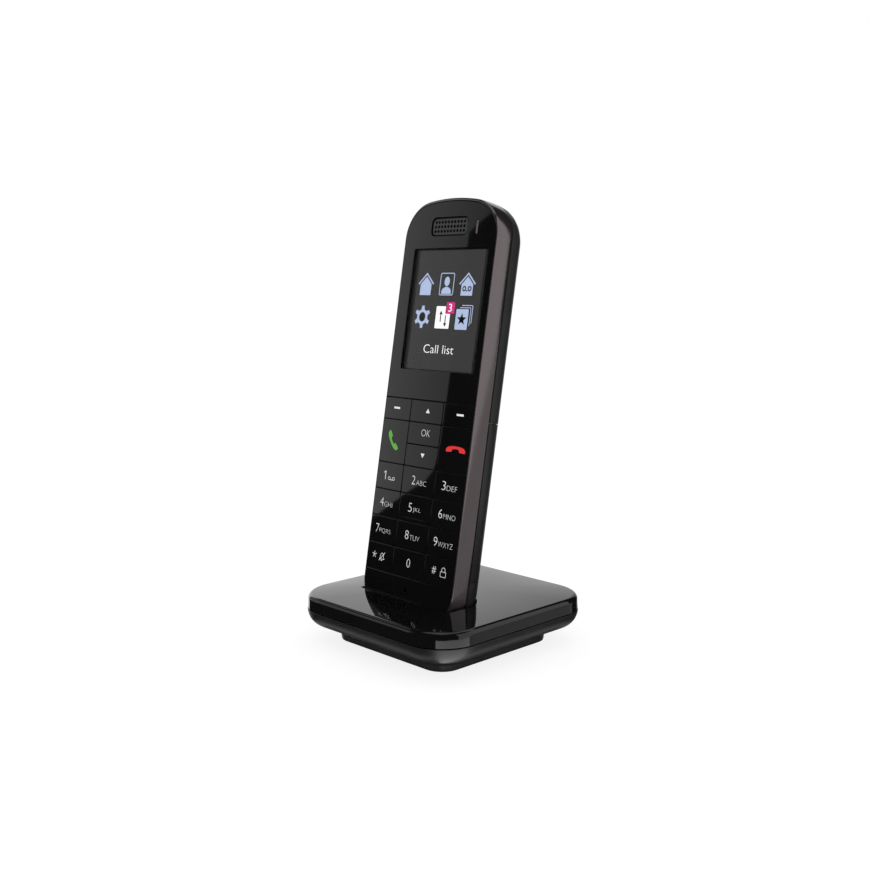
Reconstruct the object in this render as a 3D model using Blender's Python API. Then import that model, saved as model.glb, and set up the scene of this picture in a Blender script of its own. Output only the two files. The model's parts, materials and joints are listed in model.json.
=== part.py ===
"""A cordless telephone handset standing in its square charging base.

The base stands on z = 0 with its middle on the z axis, and the phone faces -Y.
The handset leans back in the base. It is drawn upright in a frame of its own, in which x runs across
the phone, y runs from its glossy front to its back, and z runs up it, with zero where its front meets
the top of the base. An empty carries that frame, and everything in the handset hangs from it.
All sizes are in millimetres and are turned into metres as each piece is placed.
"""

import math

import bmesh
import bpy
from mathutils import Matrix, Vector

MM = 0.001
GAP = 0.3                   # between neighbouring pieces
FIT = 0.5                   # between the handset and the pocket it drops into

# Base
BASE_WIDTH = 80.3           # square, at the seam between its two shells
BASE_CORNER = 15.0
TOP_DRAFT = 0.85            # how far each side leans in from the seam to the top
TOP_EDGE_HEIGHT = 18.0
TOP_CROWN = 1.5             # rise of the top surface at its middle
TOP_EDGE_ROUND = 1.4        # height of the rounded edge below the top surface
SEAM_HEIGHT = 12.5
PLINTH_SETBACK = 11.55      # of the plinth from the side of the base
PLINTH_CORNER = 7.6
PLINTH_HEIGHT = 3.0
BELLY_RADIUS = 6.5          # the round between the side and the sloping underside
BELLY_SLOPE = math.radians(22)
PLINTH_FLARE = 0.8          # the hollow round where the underside meets the plinth
BASE_WALL = 1.8
CUP_WALL = 1.2              # of the pocket that the handset drops into
FOOT_RADIUS = 3.5
FOOT_HEIGHT = 1.0
FOOT_PROUD = 0.5            # how far the feet stand out below the plinth
FOOT_FROM_EDGE = 12.6       # from the plinth's side to a foot's middle
SCREW_FROM_EDGE = 6.3       # from the plinth's side to a screw's middle
BASE_SCREW_LENGTH = 9.0
BALLAST_LENGTH = 15.0       # front to back
BALLAST_THICKNESS = 3.5
INLET_WIDTH = 8.0
INLET_LENGTH = 8.0
INLET_HEIGHT = 3.8
INLET_WALL = 0.8
INLET_SOCKET = 5.5          # depth of its socket
INLET_BELOW_SEAM = 3.6      # to its middle
INLET_SETBACK = 3.8         # of its mouth from the side of the base

# Handset
HANDSET_WIDTH = 47.0
HANDSET_LENGTH = 155.4
HANDSET_CORNER = 13.5
END_ARCH_RADIUS = 80.0      # of the gently arched top and bottom ends
FRAME_DEPTH = 8.5           # of the metal-coloured band round the side
BACK_FULLNESS = 2.3         # 2 is an ellipse, more is squarer
BACK_END_ROUND = 21.0       # length over which the back rounds off at each end
HANDSET_LEAN = math.radians(9.84)
HANDSET_FRONT_Y = -19.9     # where its front meets the top of the base
SEATED_DEPTH = 9.5          # length of the handset below that
HANDSET_WALL = 1.5

# Front face
LIP_SIDE = 0.5              # width of the band's lip round the glossy front
LIP_END = 1.2
PANEL_DEPTH = 1.3           # thickness of the lens and the chin
KEY_DEPTH = 1.1
KEY_TRAVEL = 0.3
KEY_BOTTOM = 7.8            # height of the lowest key row's lower edge
DIGIT_PITCH = 10.0
NAV_PITCH = 8.1
MIDDLE_COLUMN = 16.7        # width of the middle key column
KEY_STEM = 2.4
KEY_SPACE = 0.35
DISPLAY_WIDTH = 38.0
DISPLAY_LENGTH = 52.0
DISPLAY_FROM_GRILLE = 30.0  # middle to middle
GRILLE_WIDTH = 18.3
GRILLE_HEIGHT = 6.7
GRILLE_CORNER = 2.0
GRILLE_FROM_TOP = 10.5
GRILLE_COLUMNS = 10
GRILLE_ROWS = 3
GRILLE_PITCH = 1.6
GRILLE_HOLE = 0.95
LIGHT_X = 13.6
LIGHT_WIDTH = 0.8
LIGHT_LENGTH = 4.9
MIC_HEIGHT = 3.1
MIC_HOLE = 2.0

# Inside and behind the handset
HOUSING_DEPTH = 1.2
BOARD_DEPTH = 1.2
COVER_BOTTOM = 10.0         # lower end of the battery cover
COVER_TOP = 66.8
CELL_RADIUS = 5.25
CELL_LENGTH = 44.5
CELL_CONTACT = 0.5          # thickness of the metal strips at the cells' ends
CELL_CURVE_ROOM = 2.6       # extra depth that the curved back needs to clear two round cells
SPEAKER_RADIUS = 9.0
SPEAKER_THICKNESS = 4.5
SPEAKER_FROM_TOP = 46.0
SPEAKER_SLOTS = 5
SLOT_PITCH = 3.0
SLOT_WIDTH = 1.2
SLOT_LENGTH = 12.0
AERIAL_LENGTH = 22.0
AERIAL_WIDTH = 2.5
CONTACT_X = 9.0             # charging contacts, either side of the middle
CONTACT_WIDTH = 3.0
CONTACT_THICKNESS = 2.0
PIN_RADIUS = 0.8
PIN_TRAVEL = 1.0
SCREW_RADIUS = 1.0
SCREW_HEAD = 1.9
SCREW_HEAD_HEIGHT = 1.1
BOSS_WALL = 0.9

# Worked out from the sizes above
HALF_WIDTH = HANDSET_WIDTH / 2
HANDSET_BOTTOM = -SEATED_DEPTH
HANDSET_TOP = HANDSET_LENGTH - SEATED_DEPTH
GRILLE_MIDDLE = HANDSET_TOP - GRILLE_FROM_TOP
DISPLAY_MIDDLE = GRILLE_MIDDLE - DISPLAY_FROM_GRILLE
SPEAKER_HEIGHT = HANDSET_TOP - SPEAKER_FROM_TOP
PANEL_SIDE = LIP_SIDE + GAP
PANEL_END = LIP_END + GAP
PANEL_BACK = PANEL_DEPTH
HOUSING_FRONT = PANEL_DEPTH + GAP
HOUSING_BACK = HOUSING_FRONT + HOUSING_DEPTH
INNER_SIDE = HANDSET_WALL + GAP
STEM_BACK = HOUSING_BACK + GAP
MAT_FRONT = STEM_BACK + KEY_TRAVEL + GAP
MAT_BACK = MAT_FRONT + 0.7
BOARD_FRONT = MAT_BACK + GAP
BOARD_BACK = BOARD_FRONT + BOARD_DEPTH
FLOOR_FRONT = BOARD_BACK + GAP
FLOOR_BACK = FLOOR_FRONT + 1.2
CELL_DEPTH = FLOOR_BACK + GAP + CELL_RADIUS
CELL_BOTTOM = COVER_BOTTOM + 2.5
BACK_SKIN = CELL_DEPTH + CELL_RADIUS + GAP + CELL_CURVE_ROOM + HANDSET_WALL
BACK_DEPTH = BACK_SKIN - FRAME_DEPTH
CONTACT_DEPTH = FRAME_DEPTH + GAP + 2.5
CONTACT_BOTTOM = HANDSET_BOTTOM + 0.9
KEY_TOP = KEY_BOTTOM + 4 * DIGIT_PITCH + 3 * NAV_PITCH
BOSS_RADIUS = SCREW_RADIUS + GAP + BOSS_WALL
LOW_SCREW_HEIGHT = KEY_BOTTOM + DIGIT_PITCH
HIGH_SCREW_HEIGHT = KEY_BOTTOM + 4 * DIGIT_PITCH + 1.75 * NAV_PITCH
HANDSET_SCREWS = [(side * (HALF_WIDTH - 5.0), height)
                  for side in (-1, 1) for height in (LOW_SCREW_HEIGHT, HIGH_SCREW_HEIGHT)]
TOP_WIDTH = BASE_WIDTH - 2 * TOP_DRAFT
PLINTH_WIDTH = BASE_WIDTH - 2 * PLINTH_SETBACK
PLINTH_BOTTOM = FOOT_PROUD
BASE_FLOOR = PLINTH_BOTTOM + BASE_WALL
FOOT_PLACE = PLINTH_WIDTH / 2 - FOOT_FROM_EDGE
SCREW_PLACE = PLINTH_WIDTH / 2 - SCREW_FROM_EDGE
BASE_SCREWS = [(x * SCREW_PLACE, y * SCREW_PLACE) for x in (-1, 1) for y in (-1, 1)]
BASE_FEET = [(x * FOOT_PLACE, y * FOOT_PLACE) for x in (-1, 1) for y in (-1, 1)]
BASE_CORNERS = ["front_left", "rear_left", "front_right", "rear_right"]
BASE_BOARD_HALF = SCREW_PLACE - BOSS_RADIUS - 2 * GAP
BASE_BOARD_TOP = BASE_FLOOR + GAP + BOARD_DEPTH


def top_height(distance):
    """Height of the domed top at a distance from the middle towards a side."""
    return TOP_EDGE_HEIGHT + TOP_CROWN * (1 - (distance / (TOP_WIDTH / 2)) ** 3)


FRONT_HEIGHT = top_height(-HANDSET_FRONT_Y)


def height_above_table(depth, height):
    """World height of a point at a depth and height in the handset's own frame."""
    return FRONT_HEIGHT + height * math.cos(HANDSET_LEAN) - depth * math.sin(HANDSET_LEAN)


# ---------------------------------------------------------------- outlines

def arc(centre, radius, start, end, steps):
    """Points along an arc, without its last point."""
    angles = [start + (end - start) * i / steps for i in range(steps)]
    return [(centre[0] + radius * math.cos(a), centre[1] + radius * math.sin(a)) for a in angles]


def rounded_box_loop(half_x, half_y, corner, steps=4, centre=(0, 0)):
    """A rectangle with round corners, anticlockwise."""
    inner_x = half_x - corner
    inner_y = half_y - corner
    points = []
    for turn, (sx, sy) in enumerate([(1, 1), (-1, 1), (-1, -1), (1, -1)]):
        middle = (centre[0] + sx * inner_x, centre[1] + sy * inner_y)
        start = turn * math.pi / 2
        end = start + math.pi / 2
        points += arc(middle, corner, start, end, steps)
        points.append((middle[0] + corner * math.cos(end), middle[1] + corner * math.sin(end)))
    return points


def handset_loop(side=0.0, end=None, corner=None):
    """The handset's outline from the front, moved in by side at its sides and by end at its ends."""
    end = side if end is None else end
    half = HALF_WIDTH - side
    if corner is None:
        corner = HANDSET_CORNER - (side + end) / 2
    arch = END_ARCH_RADIUS - end
    across = half - corner
    rise = math.sqrt((arch - corner) ** 2 - across ** 2)
    turn = math.atan2(rise, across)
    points = []
    for sign, limit in ((1, HANDSET_TOP - end), (-1, HANDSET_BOTTOM + end)):
        centre_z = limit - sign * arch
        corner_z = centre_z + sign * rise
        half_loop = arc((across, 0), corner, 0, turn, 6)
        half_loop = [(x, corner_z + sign * z) for x, z in half_loop]
        arched = arc((0, 0), arch, turn, math.pi - turn, 8)
        half_loop += [(x, centre_z + sign * z) for x, z in arched]
        other = arc((-across, 0), corner, math.pi - turn, math.pi, 6) + [(-half, 0)]
        half_loop += [(x, corner_z + sign * z) for x, z in other]
        points += half_loop if sign == 1 else half_loop[::-1]
    return points


def clip_loop(points, low, high):
    """The part of a convex outline between two heights."""
    for limit, keep_below in ((low, False), (high, True)):
        kept = []
        for (x0, z0), (x1, z1) in zip(points, points[1:] + points[:1]):
            inside0 = (z0 <= limit) == keep_below
            inside1 = (z1 <= limit) == keep_below
            if inside0:
                kept.append((x0, z0))
            if inside0 != inside1:
                part = (limit - z0) / (z1 - z0)
                kept.append((x0 + part * (x1 - x0), limit))
        points = kept
    return points


def level(points, z):
    """An outline laid flat at a height."""
    return [(x, y, z) for x, y in points]


def upright(points, y):
    """An outline stood up, facing the handset's front, at a depth."""
    return [(x, y, z) for x, z in points]


# ---------------------------------------------------------------- solids

def add_loft(bm, rings):
    """Skin between rings of equally many points, closed by a face at each end."""
    loops = [[bm.verts.new(Vector(p) * MM) for p in ring] for ring in rings]
    count = len(loops[0])
    for lower, upper in zip(loops, loops[1:]):
        for i in range(count):
            j = (i + 1) % count
            bm.faces.new((lower[i], lower[j], upper[j], upper[i]))
    bm.faces.new(loops[0][::-1])
    bm.faces.new(loops[-1])


def add_band(bm, rings):
    """Skin between rings and from the last ring back to the first."""
    loops = [[bm.verts.new(Vector(p) * MM) for p in ring] for ring in rings]
    count = len(loops[0])
    for lower, upper in zip(loops, loops[1:] + loops[:1]):
        for i in range(count):
            j = (i + 1) % count
            bm.faces.new((lower[i], lower[j], upper[j], upper[i]))


def add_box(bm, low, high):
    loop = [(low[0], low[1]), (high[0], low[1]), (high[0], high[1]), (low[0], high[1])]
    add_loft(bm, [level(loop, low[2]), level(loop, high[2])])


def add_rod(bm, start, end, radii, sides=16):
    """A round rod along z or y. radii gives (share of the length, radius) from start to end."""
    start, end = Vector(start), Vector(end)
    along_z = abs(end.z - start.z) > abs(end.y - start.y)
    rings = []
    for share, radius in radii:
        middle = start.lerp(end, share)
        ring = []
        for i in range(sides):
            a = 2 * math.pi * (i + 0.5) / sides
            across, up = radius * math.cos(a), radius * math.sin(a)
            offset = Vector((across, up, 0)) if along_z else Vector((across, 0, up))
            ring.append(middle + offset)
        rings.append(ring)
    add_loft(bm, rings)


def plain_rod(bm, start, end, radius, sides=16):
    add_rod(bm, start, end, [(0, radius), (1, radius)], sides)


def add_screw(bm, head, direction, length):
    """a small pan-head screw: its head, then a plain shank along direction."""
    head, direction = Vector(head), Vector(direction)
    share = SCREW_HEAD_HEIGHT / length
    add_rod(bm, head, head + direction * length,
            [(0, SCREW_HEAD - 0.3), (0.25 * share, SCREW_HEAD), (share, SCREW_HEAD),
             (share, SCREW_RADIUS), (0.93, SCREW_RADIUS), (1, 0.5 * SCREW_RADIUS)], 12)


# ---------------------------------------------------------------- materials and objects

def make_material(name, colour, roughness, metallic=0.0):
    material = bpy.data.materials.new(name)
    material.use_nodes = True
    shader = material.node_tree.nodes["Principled BSDF"]
    shader.inputs["Base Color"].default_value = (*colour, 1.0)
    shader.inputs["Roughness"].default_value = roughness
    shader.inputs["Metallic"].default_value = metallic
    material.diffuse_color = (*colour, 1.0)
    return material


def place(name, fill, material=None, parent=None, origin=(0, 0, 0)):
    """Make an object whose shape fill() draws, with its origin at a point of the parent's frame."""
    bm = bmesh.new()
    fill(bm)
    bmesh.ops.recalc_face_normals(bm, faces=bm.faces)
    bmesh.ops.translate(bm, verts=bm.verts, vec=-Vector(origin) * MM)
    mesh = bpy.data.meshes.new(name)
    bm.to_mesh(mesh)
    bm.free()
    mesh.shade_smooth()
    mesh.set_sharp_from_angle(angle=math.radians(35))
    if material:
        mesh.materials.append(material)
    thing = bpy.data.objects.new(name, mesh)
    bpy.context.scene.collection.objects.link(thing)
    thing.parent = parent
    thing.location = Vector(origin) * MM
    return thing


def place_tool(name, fill, parent=None):
    """A shape that only cuts or joins other pieces."""
    tool = place(name, fill, parent=parent)
    tool.hide_render = True
    tool.display_type = "WIRE"
    return tool


def combine(thing, tool, operation):
    modifier = thing.modifiers.new(tool.name, "BOOLEAN")
    modifier.operation = operation
    modifier.solver = "EXACT"
    modifier.object = tool


# ---------------------------------------------------------------- base

def base_ring(width, corner, z):
    return level(rounded_box_loop(width / 2, width / 2, corner, 6), z)


def dome_rings(drop, inset):
    """Rings of the domed top from its edge to near its middle, lowered by drop and moved in by inset."""
    rings = []
    for share in (1.0, 0.9, 0.78, 0.64, 0.48, 0.3, 0.12):
        width = (TOP_WIDTH - 2 * inset) * share
        height = TOP_EDGE_HEIGHT + TOP_CROWN * (1 - share ** 3) - drop
        rings.append(base_ring(width, BASE_CORNER * share, height))
    return rings


def fill_top_shell(bm):
    side_top = TOP_EDGE_HEIGHT - TOP_EDGE_ROUND
    outer = [base_ring(BASE_WIDTH, BASE_CORNER, SEAM_HEIGHT + GAP / 2),
             base_ring(BASE_WIDTH - 0.3 * TOP_DRAFT, BASE_CORNER, side_top),
             base_ring(BASE_WIDTH - 1.1 * TOP_DRAFT, BASE_CORNER, side_top + 0.6 * TOP_EDGE_ROUND)]
    inner_side = base_ring(BASE_WIDTH - 2 * BASE_WALL, BASE_CORNER - BASE_WALL, SEAM_HEIGHT + GAP / 2)
    inner = dome_rings(BASE_WALL, BASE_WALL)[::-1] + [inner_side]
    add_loft(bm, inner + outer + dome_rings(0, 0))


def belly_rings(inset):
    """Rings of the lower shell from the seam to the plinth, on its outside moved in by inset."""
    rings = []
    seam = SEAM_HEIGHT - GAP / 2
    turn = math.pi / 2 - BELLY_SLOPE
    radius = BELLY_RADIUS - inset
    slope_in = PLINTH_WIDTH / 2 + PLINTH_FLARE
    for i in range(6):
        a = turn * i / 5
        half = BASE_WIDTH / 2 - BELLY_RADIUS + radius * math.cos(a)
        z = seam - radius * math.sin(a)
        rings.append(base_ring(2 * half, max(BASE_CORNER - (BASE_WIDTH / 2 - half), 5), z))
    last_half = BASE_WIDTH / 2 - BELLY_RADIUS + radius * math.cos(turn)
    last_z = seam - radius * math.sin(turn)
    half = slope_in - inset
    z = last_z - (last_half - half) * math.tan(BELLY_SLOPE)
    rings.append(base_ring(2 * half, PLINTH_CORNER + PLINTH_FLARE, z))
    return rings


def fill_lower_shell(bm):
    outer = belly_rings(0)
    outer.append(base_ring(PLINTH_WIDTH + 0.4, PLINTH_CORNER + 0.2, PLINTH_HEIGHT - 0.6))
    outer.append(base_ring(PLINTH_WIDTH, PLINTH_CORNER, PLINTH_BOTTOM + 0.3))
    outer.append(base_ring(PLINTH_WIDTH - 0.6, PLINTH_CORNER - 0.3, PLINTH_BOTTOM))
    inner = belly_rings(BASE_WALL)[:-1]
    inner.append(base_ring(PLINTH_WIDTH - 2 * BASE_WALL, PLINTH_CORNER - BASE_WALL, BASE_FLOOR))
    add_loft(bm, inner[::-1] + outer)


def fill_cup(bm):
    """The outside of the pocket that the handset drops into."""
    add_loft(bm, handset_rings(FIT + CUP_WALL))


def fill_cup_room(bm):
    """The space under the domed top that the pocket's wall may take."""
    inner = [base_ring(TOP_WIDTH - 2, BASE_CORNER, TOP_EDGE_HEIGHT / 4)]
    sink = BASE_WALL / 2
    add_loft(bm, inner + dome_rings(sink, 1))


def fill_pocket(bm):
    add_loft(bm, handset_rings(FIT))


def fill_base_bosses(bm):
    high = top_height(SCREW_PLACE) - BASE_WALL / 2
    for x, y in BASE_SCREWS:
        plain_rod(bm, (x, y, BASE_FLOOR + GAP), (x, y, high), BOSS_RADIUS)


def fill_base_pilots(bm):
    for x, y in BASE_SCREWS:
        plain_rod(bm, (x, y, 0), (x, y, SEAM_HEIGHT), SCREW_RADIUS + GAP, 12)


def fill_base_recesses(bm):
    """Counterbores for the screws and seats for the feet, under the plinth."""
    head = PLINTH_BOTTOM + SCREW_HEAD_HEIGHT + GAP
    for x, y in BASE_SCREWS:
        add_rod(bm, (x, y, -1), (x, y, BASE_WALL + 2),
                [(0, SCREW_HEAD + GAP), ((head + 1) / (BASE_WALL + 3), SCREW_HEAD + GAP),
                 ((head + 1) / (BASE_WALL + 3), SCREW_RADIUS + GAP), (1, SCREW_RADIUS + GAP)], 12)
    for x, y in BASE_FEET:
        plain_rod(bm, (x, y, -1), (x, y, FOOT_HEIGHT + GAP), FOOT_RADIUS + GAP)
    low, high = inlet_box()
    grown_low = (low[0] - GAP, low[1] - GAP, low[2] - GAP)
    add_box(bm, grown_low, (high[0] + GAP, BASE_WIDTH, high[2] + GAP))


def inlet_box():
    """The power inlet's body, just inside the back of the lower shell."""
    middle = SEAM_HEIGHT - INLET_BELOW_SEAM
    back = BASE_WIDTH / 2 - INLET_SETBACK
    return ((-INLET_WIDTH / 2, back - INLET_LENGTH, middle - INLET_HEIGHT / 2),
            (INLET_WIDTH / 2, back, middle + INLET_HEIGHT / 2))


def fill_inlet(bm):
    low, high = inlet_box()
    add_box(bm, low, high)


def fill_inlet_socket(bm):
    low, high = inlet_box()
    wall = INLET_WALL
    add_box(bm, (low[0] + wall, high[1] - INLET_SOCKET, low[2] + wall),
            (high[0] - wall, high[1] + 1, high[2] - wall))


def fill_base_board(bm):
    loop = rounded_box_loop(BASE_BOARD_HALF, BASE_BOARD_HALF, 1.0, 2)
    add_loft(bm, [level(loop, BASE_FLOOR + GAP), level(loop, BASE_BOARD_TOP)])


def fill_ballast(bm):
    middle = BASE_BOARD_HALF - BALLAST_LENGTH / 2
    loop = rounded_box_loop(BASE_BOARD_HALF, BALLAST_LENGTH / 2, 2.0, 3, (0, middle))
    low = BASE_BOARD_TOP + 1.0
    add_loft(bm, [level(loop, low), level(loop, low + BALLAST_THICKNESS)])


# ---------------------------------------------------------------- handset shapes

BACK_SHARES = (1.0, 0.99, 0.965, 0.92, 0.84, 0.72, 0.55, 0.35, 0.15)


def back_ring(share, grow=0.0):
    """One ring of the rounded back; share runs from 1 at its rim to 0 on its ridge."""
    depth = (1 - share ** BACK_FULLNESS) ** (1 / BACK_FULLNESS)
    side = HALF_WIDTH * (1 - share) - grow * share
    end = BACK_END_ROUND * (1 - share) - grow
    corner = (HANDSET_CORNER + grow) * share
    return upright(handset_loop(side, end, corner), FRAME_DEPTH + (BACK_DEPTH + grow) * depth)


def handset_rings(grow):
    """Rings of the whole handset from front to back, grown all round."""
    front = [upright(handset_loop(-grow), -grow)]
    return front + [back_ring(share, grow) for share in BACK_SHARES]


def fill_side_frame(bm):
    edge = FRAME_DEPTH
    add_band(bm, [upright(handset_loop(LIP_SIDE, LIP_END), 0.0),
                  upright(handset_loop(LIP_SIDE * 0.4, LIP_END * 0.5), 0.15),
                  upright(handset_loop(0.1), 0.7),
                  upright(handset_loop(0.0), 1.4),
                  upright(handset_loop(0.0), edge),
                  upright(handset_loop(HANDSET_WALL), edge),
                  upright(handset_loop(HANDSET_WALL, LIP_END + 0.6), HOUSING_FRONT - GAP / 2),
                  upright(handset_loop(LIP_SIDE, LIP_END), HOUSING_FRONT - GAP / 2)])


def panel_plate(bm, low, high, front, back):
    """A slice of the glossy front between two heights."""
    loop = clip_loop(handset_loop(PANEL_SIDE, PANEL_END), low, high)
    add_loft(bm, [upright(loop, front), upright(loop, back)])


def fill_lens(bm):
    panel_plate(bm, KEY_TOP + KEY_SPACE / 2, HANDSET_TOP, 0.0, PANEL_BACK)


def fill_lens_openings(bm):
    grille = rounded_box_loop(GRILLE_WIDTH / 2, GRILLE_HEIGHT / 2, GRILLE_CORNER, 4, (0, GRILLE_MIDDLE))
    add_loft(bm, [upright(grille, -1), upright(grille, PANEL_BACK + 1)])
    add_box(bm, (LIGHT_X - LIGHT_WIDTH / 2 - GAP, -1, GRILLE_MIDDLE - LIGHT_LENGTH / 2 - GAP),
            (LIGHT_X + LIGHT_WIDTH / 2 + GAP, PANEL_BACK + 1, GRILLE_MIDDLE + LIGHT_LENGTH / 2 + GAP))


def fill_chin(bm):
    panel_plate(bm, HANDSET_BOTTOM, KEY_BOTTOM - KEY_SPACE / 2, 0.0, PANEL_BACK)


def fill_mic_hole(bm):
    plain_rod(bm, (0, -1, MIC_HEIGHT), (0, HOUSING_BACK + 1, MIC_HEIGHT), MIC_HOLE / 2, 10)


def fill_front_housing(bm):
    loop = handset_loop(INNER_SIDE, LIP_END + 0.6 + GAP)
    add_loft(bm, [upright(loop, HOUSING_FRONT), upright(loop, HOUSING_BACK)])


def fill_housing_bosses(bm):
    for x, z in HANDSET_SCREWS:
        plain_rod(bm, (x, HOUSING_FRONT + 0.4, z), (x, FLOOR_FRONT - GAP, z), BOSS_RADIUS, 12)


def fill_housing_openings(bm):
    half_x = DISPLAY_WIDTH / 2 + GAP
    half_z = DISPLAY_LENGTH / 2 + GAP
    add_box(bm, (-half_x, 0, DISPLAY_MIDDLE - half_z), (half_x, BOARD_FRONT, DISPLAY_MIDDLE + half_z))
    hole = KEY_STEM / 2 + GAP
    for name, left, right, low, high in key_places():
        x, z = (left + right) / 2, (low + high) / 2
        add_box(bm, (x - hole, 0, z - hole), (x + hole, BOARD_FRONT, z + hole))
    add_box(bm, (-GRILLE_WIDTH * 0.4, 0, GRILLE_MIDDLE - GRILLE_HEIGHT * 0.3),
            (GRILLE_WIDTH * 0.4, BOARD_FRONT, GRILLE_MIDDLE + GRILLE_HEIGHT * 0.3))
    half_light = LIGHT_WIDTH / 2 + GAP
    add_box(bm, (LIGHT_X - half_light, 0, GRILLE_MIDDLE - LIGHT_LENGTH / 2 - GAP),
            (LIGHT_X + half_light, BOARD_FRONT, GRILLE_MIDDLE + LIGHT_LENGTH / 2 + GAP))
    for x, z in HANDSET_SCREWS:
        plain_rod(bm, (x, HOUSING_BACK, z), (x, FLOOR_FRONT + 1, z), SCREW_RADIUS + GAP, 12)


def key_places():
    """Every key's name and its left, right, lower and upper edges on the front."""
    side = HALF_WIDTH - PANEL_SIDE
    middle = MIDDLE_COLUMN / 2
    columns = [(-side, -middle), (-middle, middle), (middle, side)]
    places = []
    rows = [("key_star", "key_0", "key_hash"), ("key_7", "key_8", "key_9"),
            ("key_4", "key_5", "key_6"), ("key_1", "key_2", "key_3")]
    for row, names in enumerate(rows):
        low = KEY_BOTTOM + row * DIGIT_PITCH
        for name, (left, right) in zip(names, columns):
            places.append((name, left, right, low, low + DIGIT_PITCH))
    nav = KEY_BOTTOM + 4 * DIGIT_PITCH
    for row, name in enumerate(("key_down", "key_ok", "key_up")):
        low = nav + row * NAV_PITCH
        places.append((name, *columns[1], low, low + NAV_PITCH))
    for names, (left, right) in ((("key_talk", "key_soft_left"), columns[0]),
                                 (("key_end", "key_soft_right"), columns[2])):
        places.append((names[0], left, right, nav, nav + 2 * NAV_PITCH))
        places.append((names[1], left, right, nav + 2 * NAV_PITCH, nav + 3 * NAV_PITCH))
    return places


def fill_key(bm, left, right, low, high):
    """A flat tile with a softened front edge and a square stem behind it."""
    half = KEY_SPACE / 2
    outer_left = left if left < -MIDDLE_COLUMN else left + half
    outer_right = right if right > MIDDLE_COLUMN else right - half
    x, z = (left + right) / 2, (low + high) / 2

    def tile(inset, y):
        x0, x1 = outer_left + inset, outer_right - inset
        z0, z1 = low + half + inset, high - half - inset
        return [(x0, y, z0), (x1, y, z0), (x1, y, z1), (x0, y, z1)]

    def stem(y):
        s = KEY_STEM / 2
        return [(x - s, y, z - s), (x + s, y, z - s), (x + s, y, z + s), (x - s, y, z + s)]

    add_loft(bm, [tile(0.15, 0.0), tile(0.0, 0.15), tile(0.0, KEY_DEPTH), stem(KEY_DEPTH), stem(STEM_BACK)])


def fill_key_mat(bm):
    side = HALF_WIDTH - INNER_SIDE - 0.8
    add_box(bm, (-side, MAT_FRONT, KEY_BOTTOM), (side, MAT_BACK, KEY_TOP))


def fill_mat_holes(bm):
    for x, z in HANDSET_SCREWS:
        plain_rod(bm, (x, HOUSING_BACK, z), (x, BOARD_FRONT, z), BOSS_RADIUS + GAP, 12)


def fill_display(bm):
    half_x, half_z = DISPLAY_WIDTH / 2, DISPLAY_LENGTH / 2
    add_box(bm, (-half_x, PANEL_BACK + 1.0, DISPLAY_MIDDLE - half_z),
            (half_x, BOARD_FRONT - GAP, DISPLAY_MIDDLE + half_z))


def fill_board(bm):
    loop = handset_loop(INNER_SIDE + 0.6, 4.0)
    add_loft(bm, [upright(loop, BOARD_FRONT), upright(loop, BOARD_BACK)])


def fill_board_holes(bm):
    for x, z in HANDSET_SCREWS:
        plain_rod(bm, (x, HOUSING_BACK, z), (x, FLOOR_BACK, z), BOSS_RADIUS + GAP, 12)


def fill_grille(bm):
    loop = rounded_box_loop(GRILLE_WIDTH / 2 - GAP, GRILLE_HEIGHT / 2 - GAP, GRILLE_CORNER - GAP, 4,
                            (0, GRILLE_MIDDLE))
    add_loft(bm, [upright(loop, 0.4), upright(loop, PANEL_BACK)])


def fill_grille_holes(bm):
    for column in range(GRILLE_COLUMNS):
        for row in range(GRILLE_ROWS):
            x = (column - (GRILLE_COLUMNS - 1) / 2) * GRILLE_PITCH
            z = GRILLE_MIDDLE + (row - (GRILLE_ROWS - 1) / 2) * GRILLE_PITCH
            plain_rod(bm, (x, 0, z), (x, PANEL_BACK + 1, z), GRILLE_HOLE / 2, 8)


def fill_earpiece(bm):
    plain_rod(bm, (0, STEM_BACK, GRILLE_MIDDLE), (0, BOARD_FRONT - GAP, GRILLE_MIDDLE), 3.6)


def fill_light(bm):
    add_box(bm, (LIGHT_X - LIGHT_WIDTH / 2, 0.05, GRILLE_MIDDLE - LIGHT_LENGTH / 2),
            (LIGHT_X + LIGHT_WIDTH / 2, BOARD_FRONT - GAP, GRILLE_MIDDLE + LIGHT_LENGTH / 2))


def fill_microphone(bm):
    plain_rod(bm, (0, STEM_BACK, MIC_HEIGHT), (0, BOARD_FRONT - GAP, MIC_HEIGHT), 2.0)


def fill_speaker(bm):
    back = BACK_SKIN - HANDSET_WALL - 1.5
    add_rod(bm, (0, back - SPEAKER_THICKNESS, SPEAKER_HEIGHT), (0, back, SPEAKER_HEIGHT),
            [(0, 0.6 * SPEAKER_RADIUS), (0.45, 0.6 * SPEAKER_RADIUS), (0.45, SPEAKER_RADIUS),
             (0.9, SPEAKER_RADIUS), (1, 0.85 * SPEAKER_RADIUS)], 20)


def fill_aerial(bm):
    top = HANDSET_TOP - 8.0
    add_box(bm, (-AERIAL_LENGTH / 2, FLOOR_FRONT + GAP, top - AERIAL_WIDTH),
            (AERIAL_LENGTH / 2, FLOOR_FRONT + GAP + 0.4, top))


def fill_rear_housing(bm):
    """The whole back with a plug that fits inside the side frame, before it is hollowed."""
    rim = FRAME_DEPTH + GAP
    plug = handset_loop(INNER_SIDE)
    back = [back_ring(share) for share in BACK_SHARES[1:]]
    add_loft(bm, [upright(plug, FLOOR_FRONT), upright(plug, rim), upright(handset_loop(0.0), rim)] + back)


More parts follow.
